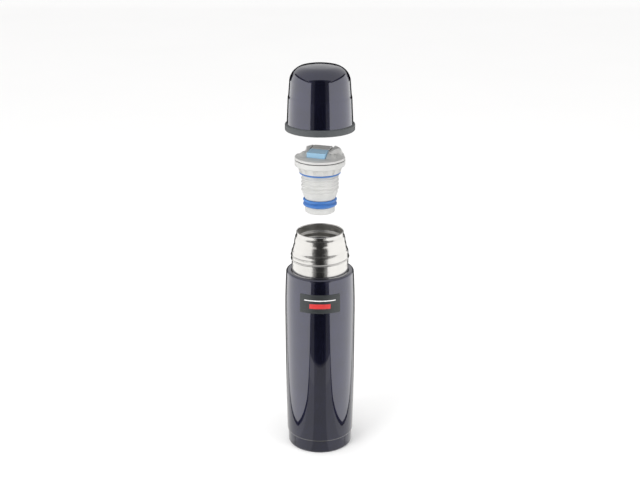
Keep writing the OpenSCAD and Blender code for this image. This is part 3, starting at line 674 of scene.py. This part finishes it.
class FLASK_OT_neck(bpy.types.Operator):
    """Bare steel neck with its rolled lip and thread, and the vessel that it leads to."""
    bl_idname = "flask.neck"
    bl_label = "Neck and vessel"

    def neck(self, wide, lip_r, mouth):
        """The collar from its hidden flange up to the lip, the lip's rolled bead, and the inside of the
        sheet. The thread lies on the collar, a groove under it, and a slight wave on the band above."""
        sizes = settings("flask_sizes")
        collar, upper = wide - 2.6, lip_r + 2.4
        flange = low("neck_collar")[2] - LIP
        outline = filleted(
            (wide, flange), (collar, flange, 0.8), (collar, -20.4, 1.2), (collar - 1.3, -17.4, 2.5),
            (upper + 0.3, -13.6, 3.5), (upper - 0.1, -11.5, 3.0), (upper - 0.7, -7.6, 4.0),
            (upper - 1.3, -5.0, 2.0), (lip_r, -2.9, 1.0), (lip_r, -1.5))
        outline = dense(outline, 1.0, (-35.0, -17.0), 0.22)
        bead = arc((mouth + 0.65, -0.65), 0.65, 0, 180, 12)
        inner = moved(outline, sizes.shell_wall)[::-1]
        closed = np.vstack([outline, bead, [[mouth, -1.45], [inner[0, 0], -1.5]], inner[1:]])
        pitch, turns, width = 4.2, 1.75, 2.5
        start = -23.0 - pitch * turns

        def neck_thread(a, r, z):
            rolled = sizes.neck_thread * helix(a, z, start, pitch, turns, width)
            groove = 0.12 * np.exp(-((z + 33.5) / 0.35) ** 2)
            band = ease(z, -20.5, -18.0) * (1 - ease(z, -7.0, -5.0))
            wave = 0.12 * np.sin(2 * math.pi * ((z + 1.5) / 6.4) - a) * band
            return (rolled * ease(r, collar - 4.0, collar - 3.0)
                    + (wave - groove) * ease(r, lip_r - 0.3, lip_r))

        piece = lathe("neck_finish", closed, LIP, neck_thread)
        dress(piece, material("neck_steel", spun_steel), "neck_steel", "flask", "neck_collar")

    def vessel(self, mouth):
        """The mouth and the threaded bore, the narrow bore of the lower seal, a flare and a shoulder, which
        are arcs joined by a straight fall, the wall, and the round bottom."""
        sizes = settings("flask_sizes")
        inside = high("inner_vessel")[0] - sizes.vessel_wall
        floor = low("inner_vessel")[2] + sizes.vessel_wall - LIP
        bore, seal_bore = mouth - 2.45, mouth - 5.2
        fall, shoulder_r, flare, bottom_r = 20.0, 10.0, 5.0, 9.0
        slope = math.radians(fall)
        flare_centre = np.array([seal_bore + flare, -42.5])
        fall_start = flare_centre - flare * np.array([math.sin(slope), math.cos(slope)])
        reach = inside - shoulder_r + shoulder_r * math.sin(slope)
        fall_end = fall_start + np.array([1, -math.tan(slope)]) * (reach - fall_start[0])
        shoulder_centre = fall_end - shoulder_r * np.array([math.sin(slope), math.cos(slope)])
        outline = np.vstack([
            filleted((mouth, -1.2), (mouth, -7.6, 0.8), (bore + 0.2, -8.2, 0.5), (bore, -9.4, 0.6),
                     (bore, -26.0, 1.5), (seal_bore, -30.5, 1.5), (seal_bore, -42.0)),
            arc(flare_centre, flare, 180, 270 - fall, 10),
            arc(shoulder_centre, shoulder_r, 90 - fall, 0, 10),
            arc((inside - bottom_r, floor + bottom_r), bottom_r, 0, -90, 12), [[2.5, floor], [0, floor]]])
        outline = dense(outline, 3.0, (-28.0, -9.0), 0.25)
        pitch, turns, width = settings("stopper_sizes").thread_pitch, 1.75, 2.1
        start = -11.6 - pitch * turns

        def bore_thread(a, r, z):
            return -sizes.bore_thread * helix(a, z, start, pitch, turns, width) * (r < bore + 1.5)

        piece = lathe("vessel_finish", walled(outline, sizes.vessel_wall), LIP, bore_thread)
        dress(piece, vessel_steel(), "vessel_steel", "flask", "inner_vessel")

    def execute(self, context):
        wide = high("neck_collar")[0]
        lip_r, mouth = wide - 7.5, wide - 8.8
        self.neck(wide, lip_r, mouth)
        self.vessel(mouth)
        return {"FINISHED"}


class FLASK_OT_badge(bpy.types.Operator):
    """Plain badge plate with a bar and a thin line on it."""
    bl_idname = "flask.badge"
    bl_label = "Badge plate"

    def patch(self, name, half, z0, z1, lift, thickness, corner):
        """A plate bent round the barrel. Its arc length and height run over a grid whose outer edge is a
        rectangle with round corners of that radius, and it stands off the barrel's own curve by lift."""
        wide = high("outer_shell")[0]
        path = block_path(-half, half, z0, z1, corner, 0.0)
        middle = np.array([0, (z0 + z1) / 2])
        shares = [1.0, 0.985, *np.linspace(0.9, 0, 10)]

        def surface(share, out):
            flat = middle + (path - middle) * share
            a, z = flat[:, 0] / wide - math.pi / 2, flat[:, 1]
            r = barrel_r(z) + out
            return np.column_stack([r * np.cos(a), r * np.sin(a), z])

        back = [surface(share, lift) for share in shares[::-1]]
        front = ([surface(1.0, lift + thickness * 0.75)]
                 + [surface(share, lift + thickness) for share in shares[1:]])
        points = np.stack(back + front)
        return make_mesh(name, points.reshape(-1, 3), grid_faces(len(points), points.shape[1]))

    def execute(self, context):
        lo, hi = low("badge_plate"), high("badge_plate")
        wide, plate_t, print_t = high("outer_shell")[0], 0.3, 0.06
        half = math.asin(min(1.0, hi[0] / (wide + plate_t))) * wide
        middle = (lo[2] + hi[2]) / 2
        plate = self.patch("badge", half, lo[2], hi[2], 0.0, plate_t, 1.0)
        dress(plate, material("badge", brushed_plate), "badge", "flask", "badge_plate")
        bar = self.patch("badge_bar", half * 0.5, middle - 4.6, middle + 0.2, plate_t, print_t, 0.5)
        red = material("badge_red", moulded, settings("flask_finishes").red, 0.3, 3000.0, 0.000004)
        dress(bar, red, "badge", "flask")
        line = self.patch("badge_line", half * 0.76, middle + 3.2, middle + 4.2, plate_t, print_t, 0.3)
        dress(line, material("badge_white", moulded, (0.8, 0.8, 0.8), 0.35, 3000.0, 0.000004), "badge",
              "flask")
        return {"FINISHED"}


class FLASK_OT_vacuum(bpy.types.Operator):
    """Hidden pieces of the vacuum space."""
    bl_idname = "flask.vacuum"
    bl_label = "Vacuum space"

    def execute(self, context):
        dress_node("foil_wrap", material("copper_foil", crinkled_foil))
        dress_node("outer_bottom", vessel_steel())
        dress_node("getter", material("getter_metal", sintered, (0.45, 0.45, 0.47), 2600.0))
        dress_node("vacuum_plug", material("braze", sintered, (0.62, 0.6, 0.55), 1100.0))
        return {"FINISHED"}


# ---- The stopper ----

class FLASK_OT_plug(bpy.types.Operator):
    """Threaded body of the stopper with its flange, and the core, deck, foam and gasket inside it."""
    bl_idname = "flask.plug"
    bl_label = "Stopper body"

    def outline(self, flange_r, foot, thread_r):
        """Outline of the body, from its spigot up round the thread and the flange, down the insulation
        pocket and back. The flange stands on a cone that runs down to the upper seal's groove."""
        side, spigot = flange_r - 2.9, flange_r - 10.9
        deck, groove, pocket = flange_r - 4.4, flange_r - 6.2, thread_r - 1.6
        top, end = high("stopper_body")[2] - FLANGE, low("stopper_body")[2] - FLANGE
        points = filleted(
            (spigot, end), (spigot, -32.8, 0.3), (15.0, -32.8, 0.6), (thread_r, -26.7, 2.0),
            (thread_r, -8.7, 0.6), (thread_r + 0.5, -8.1), (groove, -8.1, 0.2), (groove, -6.1, 0.2),
            (foot, -6.1, 0.3), (foot, -5.6, 0.3), (side, -0.6, 0.4), (side, 0.0, 0.25),
            (flange_r, 0.0, 1.1), (flange_r, top, 0.45), (deck, top, 0.3), (deck, 1.0, 0.2),
            (pocket, 1.0, 0.2), (pocket, -24.0, 0.5), (2.35, -24.0, 0.2), (2.35, -27.0, 0.2),
            (9.0, -27.0, 0.5), (9.0, end, 0.2), (spigot, end))[:-1]
        return dense(points, 1.2, (-28.0, -0.3), 0.25)

    def execute(self, context):
        sizes = settings("stopper_sizes")
        flange_r = high("stopper_body")[0]
        foot, thread_r = flange_r - 4.2, flange_r - 7.2
        turns, width = 4.25, 3.3
        start = -9.7 - turns * sizes.thread_pitch

        def shape(a, r, z):
            outer = ease(r, thread_r - 1.0, thread_r - 0.6)
            thread = sizes.thread_h * helix(a, z, start, sizes.thread_pitch, turns, width)
            swing = np.cos(sizes.notches * a)
            notch = (ease(swing, 0.35, 0.75) * ease(z, -5.4, -4.6) * (1 - ease(z, -1.4, -0.8))
                     * (r > foot - 0.3))
            return outer * (thread * (z < -8.9) - sizes.notch_depth * notch)

        body = lathe("plug_finish", self.outline(flange_r, foot, thread_r), FLANGE, shape)
        dress(body, light_plastic(), "light_plastic", "stopper", "stopper_body")
        dress_node("stopper_core", light_plastic())
        dress_node("deck_plate", light_plastic())
        dress_node("stopper_insulation", material("foam", foam))
        # The seam gasket's near-black colour is painted shade: it stands for the dark of the seam between
        # the flange and the cover.
        dress_node("seam_gasket", material("black_gasket", moulded, (0.02, 0.02, 0.021), 0.6))
        return {"FINISHED"}


# Half widths of the button and of its well, and how far both lie to the left of the axis
BUTTON_HALF, WELL_HALF, BUTTON_LEFT = 9.3, 9.8, 2.0


def top_at(y):
    """Height above the seam of the sloping top of the button and the key."""
    return 6.6 + (y + 7.5) * math.tan(math.radians(6))


class FLASK_OT_cover(bpy.types.Operator):
    """Cover of the stopper: rim, dish, two wings, pouring pockets, and the well that the button and the key
    fill."""
    bl_idname = "flask.cover"
    bl_label = "Stopper cover"

    def height(self, x, y):
        """Height of the cover's top above the seam. A dish rises at the back into wings, whose top follows
        the button's slope and whose front is an S-shaped ramp. They round off towards the edge and fall
        outwards, and a pocket with a sloping floor is sunk into each: its share is the product of soft
        steps over its three straight sides. Behind the key the top is cut down, so that the key's slot is
        open."""
        r = np.hypot(x, y)
        edge = high("stopper_cover")[0]
        dish = 2.0 + 0.25 * ease(r, edge - 3.0, edge - 0.8)
        side = np.abs(x + BUTTON_LEFT)
        ramp = ease(y + 0.35 * (side - WELL_HALF), -7.0, 1.5)
        lobe = 1 - ease(r, edge - 3.6, edge - 0.5) * 0.86
        fall = ease(side, 13.5, 20.5) * (1 - ease(y, 4.0, 12.0))
        h = dish + (top_at(y) - 0.5 - dish) * ramp * lobe * (1 - 0.92 * fall)
        front = ease(y - 0.55 * (side - 13.0), -2.4, -0.9)
        inner = ease(side - 0.28 * y, 11.6, 13.6)
        back = 1 - ease(y - 0.85 * (side - 14.8), 8.1, 10.3)
        floor = 4.6 - 0.42 * (side - 14.0)
        h = h + (np.minimum(h, floor) - h) * front * inner * back
        slot = (1 - ease(side, 9.9, 10.7)) * ease(y, 5.0, 6.0)
        return h + (np.minimum(h, 2.9) - h) * slot

    def execute(self, context):
        """Rings run from the middle of the underside out to the rim, over the top to the well, and down its
        wall to the middle of its floor. All have the well's own points, so that each lies on a ray from the
        well's middle."""
        edge = high("stopper_cover")[0]
        bottom, floor = low("stopper_cover")[2] - SEAM, -1.4
        lip, rim_in, rim_foot, wall = settings("stopper_sizes").edge * 0.7, 0.7, 0.2, 1.2
        front = -8.0
        back = math.sqrt((edge - 1.4) ** 2 - (BUTTON_HALF + BUTTON_LEFT) ** 2) + 0.5
        x0, x1 = -BUTTON_LEFT - WELL_HALF, WELL_HALF - BUTTON_LEFT

        def well(inset):
            return block_path(x0, x1, front, back, 1.7, inset, side=56)

        centre = np.array([-BUTTON_LEFT, (front + back) / 2])
        ray = well(0.0) - centre

        def circle(radius):
            """Where the rays meet a circle about the axis: the root t of |centre + t ray| = radius."""
            a, b, c = (ray ** 2).sum(1), ray @ centre, centre @ centre - radius ** 2
            t = (-b + np.sqrt(b * b - a * c)) / a
            return centre + ray * t[:, None]

        outer, inner = circle(edge - rim_in), well(-lip)
        box = block_path(x0 - wall, x1 + wall, front - wall, 6.6, 1.2, 0.0, side=56)
        rings = [raised(centre + (box - centre) * share, bottom) for share in (0.0, 0.5, 1.0)]
        rings += [raised(box, 0.0), raised(circle(edge - rim_foot), 0.0)]
        for angle in np.radians(np.linspace(-60, 0, 3)):
            path = circle(edge - rim_foot + rim_foot * math.cos(angle))
            rings.append(raised(path, rim_foot + rim_foot * math.sin(angle)))
        top = self.height(*outer.T)
        for angle in np.radians(np.linspace(0, 80, 6)):
            path = circle(edge - rim_in + rim_in * math.cos(angle))
            rings.append(raised(path, top - rim_in + rim_in * math.sin(angle)))
        for share in np.linspace(0, 1, 90):
            path = outer + (inner - outer) * share
            rings.append(raised(path, self.height(*path.T)))
        brim = rings[-1][:, 2]
        for angle in np.radians(np.linspace(10, 90, 6)):
            rings.append(raised(well(-lip + lip * math.sin(angle)), brim - lip + lip * math.cos(angle)))
        for share in np.linspace(0.9, 0, 6):
            rings.append(raised(well(0.0), floor + (brim - lip - floor) * share))
        for share in (0.97, 0.6, 0.3, 0.0):
            rings.append(raised(centre + (well(0.0) - centre) * share, floor))
        cover = rings_mesh("cover_finish", rings, SEAM)
        dress(cover, light_plastic(), "light_plastic", "stopper", "stopper_cover")
        return {"FINISHED"}


def block(name, x0, x1, y0, y1, foot, top, edge):
    """A moulded block: a rectangle with round corners drawn up from foot, with a rounded edge where it
    meets the top, a surface given by top(x, y). The underside is flat, with a small bevel."""
    corner, bevel = 1.2, 0.15
    centre = np.array([(x0 + x1) / 2, (y0 + y1) / 2])
    path = block_path(x0, x1, y0, y1, corner, 0.0)
    rings = [raised(centre + (path - centre) * share, foot) for share in (0.0, 0.5, 0.9)]
    rings.append(raised(block_path(x0, x1, y0, y1, corner, bevel), foot))
    rings.append(raised(path, foot + bevel))
    brim = block_path(x0, x1, y0, y1, corner, edge)
    crest = top(*brim.T)
    for share in (0.35, 0.7, 0.9):
        rings.append(raised(path, foot + bevel + (crest - edge - foot - bevel) * share))
    for angle in np.radians(np.linspace(0, 90, 8)):
        ring = block_path(x0, x1, y0, y1, corner, edge * (1 - math.cos(angle)))
        rings.append(raised(ring, crest - edge + edge * math.sin(angle)))
    for share in (0.985, *np.linspace(0.94, 0, 18)):
        ring = centre + (brim - centre) * share
        rings.append(raised(ring, top(*ring.T)))
    return rings_mesh(name, rings, SEAM)


class FLASK_OT_keys(bpy.types.Operator):
    """Blue push button, and the grey key behind it on its pin."""
    bl_idname = "flask.keys"
    bl_label = "Button and key"

    def execute(self, context):
        rounding = settings("stopper_sizes").edge
        x0, x1 = -BUTTON_LEFT - BUTTON_HALF, BUTTON_HALF - BUTTON_LEFT
        front, split, gap = -7.5, 4.9, 0.7
        key_end = math.sqrt((high("stopper_cover")[0] - 1.4) ** 2 - (BUTTON_HALF + BUTTON_LEFT) ** 2)
        top_end, soft = key_end - 4.4, 0.8

        def button_top(x, y):
            """The slope, with a shallow dish for the thumb, 0.35 mm deep in the middle."""
            u, v = (x + BUTTON_LEFT) / BUTTON_HALF, (y - (front + split) / 2) / ((split - front) / 2)
            return top_at(y) - 0.35 * np.exp(-2.2 * (u * u + v * v))

        def key_top(_, y):
            """The slope up to the end of the top, and a rounded fall behind it."""
            slope, fall = top_at(y), top_at(top_end) - (y - top_end) * 1.22
            share = ease(y, top_end - soft, top_end + soft)
            return slope * (1 - share) + np.minimum(slope, fall) * share

        button = block("button_finish", x0, x1, front, split, 1.6, button_top, rounding * 1.3)
        blue = material("blue_plastic", moulded, settings("flask_finishes").sky, 0.34, 2600.0, 0.000006,
                        gloss=0.15)
        dress(button, blue, "blue_plastic", "button", "release_button")
        key = block("key_finish", x0, x1, split + gap, key_end, 2.0, key_top, rounding)
        dress(key, light_plastic(), "light_plastic", "key", "close_key")
        dress_node("key_pin", material("drawn_wire", drawn_wire))
        return {"FINISHED"}


class FLASK_OT_seals(bpy.types.Operator):
    """Round cord seal above the thread, and the two-lipped seal at the stopper's foot."""
    bl_idname = "flask.seals"
    bl_label = "Seals"

    def execute(self, context):
        blue = silicone()
        lo, hi = low("upper_seal"), high("upper_seal")
        cord = (hi[2] - lo[2]) / 2
        profile = arc((hi[0] - cord, (lo[2] + hi[2]) / 2), cord, 0, 360, 28)[:-1]
        ring = lathe("upper_seal_finish", profile, 0.0)
        dress(ring, blue, "blue_silicone", "stopper_seals", "upper_seal")
        lo, hi = low("lower_seal"), high("lower_seal")
        inside, outside, tall = 13.65, hi[0], hi[2] - lo[2]
        lip = 1.35
        lower, upper = (outside - lip, lip), (outside - lip, tall - lip)
        profile = np.vstack([
            [[inside, 0.0]], arc(lower, lip, -90, 35, 14),
            arc((outside - 1.3, tall / 2), 0.35, 215, 145, 5),
            arc(upper, lip, -35, 90, 14), [[inside, tall]]])
        ring = lathe("lower_seal_finish", dense(profile, 0.6), lo[2])
        dress(ring, blue, "blue_silicone", "stopper_seals", "lower_seal")
        return {"FINISHED"}


class FLASK_OT_valve(bpy.types.Operator):
    """Pouring valve: the seat at the stopper's foot, the stem, the seals and the spring."""
    bl_idname = "flask.valve"
    bl_label = "Pouring valve"

    def execute(self, context):
        foot = low("valve_seat")[2] - FLANGE
        disc = high("valve_seat")[0]
        up, bore, recess = -40.2, 7.0, 10.0
        neck_r, neck_top, shelf = 8.95, up + 4, foot + 2.5
        seat = filleted((recess + 0.2, foot), (disc, foot, 0.9), (disc, up, 0.5), (neck_r, up, 0.15),
                        (neck_r, neck_top, 0.4), (bore, neck_top, 0.3), (bore, shelf, 0.2),
                        (recess, shelf, 0.3), (recess, foot + 0.2))
        ring = lathe("valve_seat_finish", dense(seat, 0.8), FLANGE)
        dress(ring, light_plastic(), "light_plastic", "stopper", "valve_seat")
        head, top = low("valve_stem")[2] - FLANGE, high("valve_stem")[2] - FLANGE
        rod_r, collar_r, head_r, groove = 2.2, 3.9, 9.4, head + 0.25
        stem = filleted((0, head), (5.6, head, 0.2), (6.0, groove, 0.1), (7.4, groove, 0.1),
                        (7.8, head, 0.2), (head_r, head, 0.4), (head_r, head + 1.5, 0.3),
                        (rod_r, head + 1.5, 1.2), (rod_r, 2.4, 0.2), (collar_r, 2.4, 0.2),
                        (collar_r, 3.6, 0.2), (rod_r, 3.6, 0.2), (rod_r, top, 0.4), (0, top))
        rod = lathe("valve_stem_finish", dense(stem, 1.5), FLANGE)
        dress(rod, dark_plastic(), "dark_plastic", "valve", "valve_stem")
        dress_node("valve_seal", silicone())
        dress_node("stem_seal", silicone())
        lo, hi = low("valve_spring"), high("valve_spring")
        wire, travel = 0.35, AXES["button_press"]["range_m"][1] / MM
        spring = coil("spring_finish", hi[0] - wire, wire, 0.0, hi[2] - lo[2], 6, lo[2])
        dress(spring, material("drawn_wire", drawn_wire), "spring_steel", "stopper", "valve_spring")
        keep = 1 - travel / (hi[2] - lo[2])
        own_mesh(spring)
        return {"FINISHED"}


# ---- The cup ----

class FLASK_OT_cup(bpy.types.Operator):
    """Painted dome of the cup, its dark liner with a thread, and the ring round its rim."""
    bl_idname = "flask.cup"
    bl_label = "Cup"

    def dome(self, foot, tall):
        """Outline of the cup: a slight taper, a soft step, and a round corner that runs into a shallow
        crown. The crown is an arc about the axis, which touches the corner's arc on the line through both
        centres."""
        step_z, corner, crown = 32.0, 16.0, 1.5
        middle = (foot - 2.65 - corner, tall - crown - corner)
        depth = crown + corner
        big = (middle[0] ** 2 + depth ** 2 - corner ** 2) / (2 * crown)
        meet = math.degrees(math.atan2(big - depth, middle[0]))
        side = filleted((foot, 1.3), (foot, 6.4, 8.0), (foot - 1.15, step_z - 0.6, 2.4),
                        (foot - 1.75, step_z + 1.8, 2.4), (middle[0] + corner, middle[1]))
        outline = dense(np.vstack([side[:-1], arc(middle, corner, 0, meet, 22),
                                   arc((0, tall - big), big, meet, 90, 12)[1:]]), 2.0)
        outline[-1, 0] = 0
        return outline

    def execute(self, context):
        sizes = settings("cup_sizes")
        foot, tall, fit, seat = high("cup_shell")[0], high("cup_shell")[2] - RIM, 0.05, 0.05
        outside = self.dome(foot, tall)
        shell = lathe("cup_finish", walled(outside, sizes.shell_wall), RIM)
        dress(shell, material("cup_lacquer", lacquer), "paint", "cup", "cup_shell")
        back = dense(moved(outside, sizes.shell_wall + fit), 2.0, (5.0, 18.0), 0.25)
        liner_r = foot - sizes.shell_wall - fit - sizes.liner_wall
        start, pitch, turns, width = 8.0, 4.2, 1.75, 2.3

        def inner_thread(a, r, z):
            return -sizes.thread_h * helix(a, z, start, pitch, turns, width) * (r < liner_r + 0.2)

        liner = lathe("liner_finish", walled(back, sizes.liner_wall), RIM, inner_thread)
        gloss = material("liner_plastic", moulded, (0.02, 0.022, 0.025), 0.18, 900.0, 0.000004, gloss=0.6)
        dress(liner, gloss, "liner_plastic", "cup", "cup_liner")
        out, inner = high("cup_rim")[0], 30.6
        ring = filleted((inner, seat), (inner + 0.3, seat, 0.1), (out, seat, 0.7), (out, 5.6, 0.8),
                        (foot + 0.45, 6.4, 0.3), (foot + 0.1, 6.4), (foot + 0.1, 1.2), (inner, 1.2, 0.2),
                        (inner, seat))[:-1]
        dress(lathe("rim_finish", dense(ring, 0.8), RIM), dark_plastic(), "dark_plastic", "cup_ring",
              "cup_rim")
        return {"FINISHED"}


# ---- The stage ----

class FLASK_OT_stage(bpy.types.Operator):
    """Pale floor, cards that only reflections show, soft lights and the camera."""
    bl_idname = "flask.stage"
    bl_label = "Stage"

    def add(self, name, data):
        """An object of the scene with that data."""
        thing = bpy.data.objects.new(name, data)
        bpy.context.scene.collection.objects.link(thing)
        return thing

    def sheet(self, name, corners, finish):
        """A flat sheet with that finish."""
        mesh = bpy.data.meshes.new(name)
        mesh.from_pydata(corners, [], [range(len(corners))])
        mesh.materials.append(finish)
        sheet = self.add(name, mesh)
        return sheet

    def card(self, name, corners, strength):
        """A glowing sheet that only shows in reflections, as a studio's reflectors and flags do."""
        finish = bpy.data.materials.new(name)
        finish.use_nodes = True
        shader = finish.node_tree.nodes["Principled BSDF"]
        for socket, value in (("Base Color", (0, 0, 0, 1)), ("Specular IOR Level", 0),
                              ("Emission Color", (1.0, 0.995, 0.985, 1)), ("Emission Strength", strength)):
            shader.inputs[socket].default_value = value
        card = self.sheet(name, corners, finish)
        for ray in ("camera", "diffuse", "shadow", "transmission", "volume_scatter"):
            setattr(card, "visible_" + ray, False)

    def lamp(self, name, kind, place, power, **choices):
        """A soft light that faces a point above the middle of the floor and doesn't show in reflections."""
        data = bpy.data.lights.new(name, kind)
        data.energy = power
        for choice, value in choices.items():
            setattr(data, choice, value)
        lamp = self.add(name, data)
        lamp.location = place
        x, y, z = np.array((0, 0, 0.3)) - np.array(place, float)
        lamp.rotation_euler = (math.atan2(math.hypot(x, y), -z), 0, math.atan2(y, x) - math.pi / 2)
        lamp.visible_camera = False
        lamp.visible_glossy = False

    def floor(self):
        """A wide pale floor with faint clouds."""
        g = Graph("pale_floor")
        _, _, _, point = g.place()
        finish = g.finish(Base_Color=g.mix(g.noise(point, 3.0), (0.90, 0.90, 0.90), (0.92, 0.92, 0.92)),
                          Roughness=0.75, Specular_IOR_Level=0.2)
        reach = 14.0
        corners = [(-reach, -reach, 0), (reach, -reach, 0), (reach, reach, 0), (-reach, reach, 0)]
        self.sheet("floor", corners, finish)

    def middle_cards(self, far, back, bright, dark):
        """Cards that lie or stand on both sides of the middle: the floor's own shine, a dark flag with a
        dim band in front, and dark sheets at the ends. An edge is a list of (x, y) for the right half."""
        for name, half, z, strength in (("far_floor", far, 0.0002, 0.12),
                                        ("near_floor", 0.7, 0.0004, 0.72)):
            square = [(-half, -half, z), (half, -half, z), (half, half, z), (-half, half, z)]
            self.card(name, square, strength)
        soft, shade = [(0.0, 0.05), (0.12, -0.17)], [(0.0, 0.0), (0.076, -0.235)]
        for name, edge, z, strength in (
                ("shade_soft", soft, 0.0005, 0.58), ("shade", shade, 0.00055, 0.40),
                ("flag_dim", bright, 0.0006, 0.2), ("flag_front", dark, 0.0008, 0.02)):
            self.card(name, [(-x, y, z) for x, y in edge] + [(x, y, z) for x, y in edge[::-1]], strength)
        wedge = [(far * back, far, 0.0012), (-far * back, far, 0.0012), (0.0, 0.0, 0.0012)]
        self.card("flag_back", wedge, 0.0)
        for name, x, y, z, strength in (
                ("curtain", dark[-1][0], -far, far, 0.03), ("curtain_dim", far, -far - 0.01, far, 0.14),
                ("curtain_back", far, far, 1.2, 0.0)):
            self.card(name, [(-x, y, 0.0), (x, y, 0.0), (x, y, z), (-x, y, z)], strength)

    def side_cards(self, far, back, bright):
        """On each side a bright reflector on the floor with a dark border, a softbox behind it that turns
        the front corner, and a dark frame round the softbox."""
        tall, glow, inside, outer = 2.0, 1.42, far - 0.01, bright[-1][0]
        tip = [(0.075, -0.030), (0.093, -0.111)]
        edge = [*tip, *bright, (far, -far), (far, far), (far * back, far), (0.115, 0.039)]
        cards = (
            ("reflector", [(x, y, 0.0018) for x, y in edge], glow),
            ("border", [(x - 0.009, y, 0.0015) for x, y in edge], 0.04),
            ("softbox", [(inside, far, 0.0), (inside, -far, 0.0), (inside, -far, tall),
                         (inside, far, tall)], glow),
            ("frame", [(far, far, 0.0), (far, -far, 0.0), (far, -far, tall + 0.5), (far, far, tall + 0.5)],
             0.05),
            ("cheek", [(outer, -inside, 0.0), (outer, -inside, tall - 0.4), (outer + 0.4, -inside, tall),
                       (far, -inside, tall), (far, -inside, 0.0)], glow))
        for side, name in ((-1, "left"), (1, "right")):
            for part, corners, strength in cards:
                self.card(part + "_" + name, [(side * x, y, z) for x, y, z in corners], strength)

    def execute(self, context):
        scene = bpy.context.scene
        self.floor()
        far, back = 3.4, math.tan(math.radians(34))
        bright = [(0.145, -0.228), (0.400, -0.74), (0.22, -0.76), (0.29, -0.95), (0.82, -1.25),
                  (far * 0.65, -far)]
        dark = [(0.076, -0.235), (0.240, -0.74), (0.17, -0.76), (0.23, -0.95), (0.45, -1.25),
                (far * 0.36, -far)]
        self.middle_cards(far, back, bright, dark)
        self.side_cards(far, back, bright)
        world = bpy.data.worlds.new("studio")
        scene.world = world
        world.use_nodes = True
        background = world.node_tree.nodes["Background"]
        background.inputs["Color"].default_value = (1.0, 0.995, 0.99, 1)
        background.inputs["Strength"].default_value = 0.75
        self.lamp("top_light", "SUN", (-0.5, -0.3, 2.0), 1.15, angle=math.radians(70))
        self.lamp("left_light", "AREA", (-0.8, -0.9, 0.85), 6.5, size=0.6)
        self.lamp("right_light", "AREA", (0.9, -0.6, 0.85), 4.0, size=0.6)
        camera = self.add("camera", bpy.data.cameras.new("camera"))
        looks_down = 19.4
        camera.location = (0.0, -1.025, 0.581)
        camera.rotation_euler = (math.radians(90 - looks_down), 0, 0)
        camera.data.sensor_width = 36.0
        camera.data.lens = 61.9
        scene.camera = camera
        scene.view_settings.view_transform = "Standard"
        return {"FINISHED"}


class FLASK_PT_panel(bpy.types.Panel):
    """Sizes, colours and building steps of the flask."""
    bl_idname = "FLASK_PT_panel"
    bl_label = "Vacuum flask"
    bl_space_type = "VIEW_3D"
    bl_region_type = "UI"
    bl_category = "Flask"

    def draw(self, context):
        column = self.layout.column()
        for step in STEPS:
            column.operator(step.bl_idname)
        for kind, group in GROUPS.items():
            for name in group.__annotations__:
                column.prop(getattr(context.scene, kind), name)


GROUPS = {"flask_sizes": FlaskSizes, "stopper_sizes": StopperSizes, "cup_sizes": CupSizes,
          "flask_finishes": FinishColours}
STEPS = (FLASK_OT_stage, FLASK_OT_barrel, FLASK_OT_neck, FLASK_OT_badge, FLASK_OT_vacuum, FLASK_OT_plug,
         FLASK_OT_cover, FLASK_OT_keys, FLASK_OT_seals, FLASK_OT_valve, FLASK_OT_cup)


def register():
    """Registers the settings, the steps and the panel."""
    for kind, group in GROUPS.items():
        bpy.utils.register_class(group)
        setattr(bpy.types.Scene, kind, PointerProperty(type=group))
    for step in (*STEPS, FLASK_PT_panel):
        bpy.utils.register_class(step)


def unregister():
    """Takes them out again."""
    for step in reversed((*STEPS, FLASK_PT_panel)):
        bpy.utils.unregister_class(step)
    for kind, group in GROUPS.items():
        delattr(bpy.types.Scene, kind)
        bpy.utils.unregister_class(group)


def main():
    register()
    for step in STEPS:
        family, name = step.bl_idname.split(".")
        getattr(getattr(bpy.ops, family), name)()


if __name__ == "__main__":
    main()
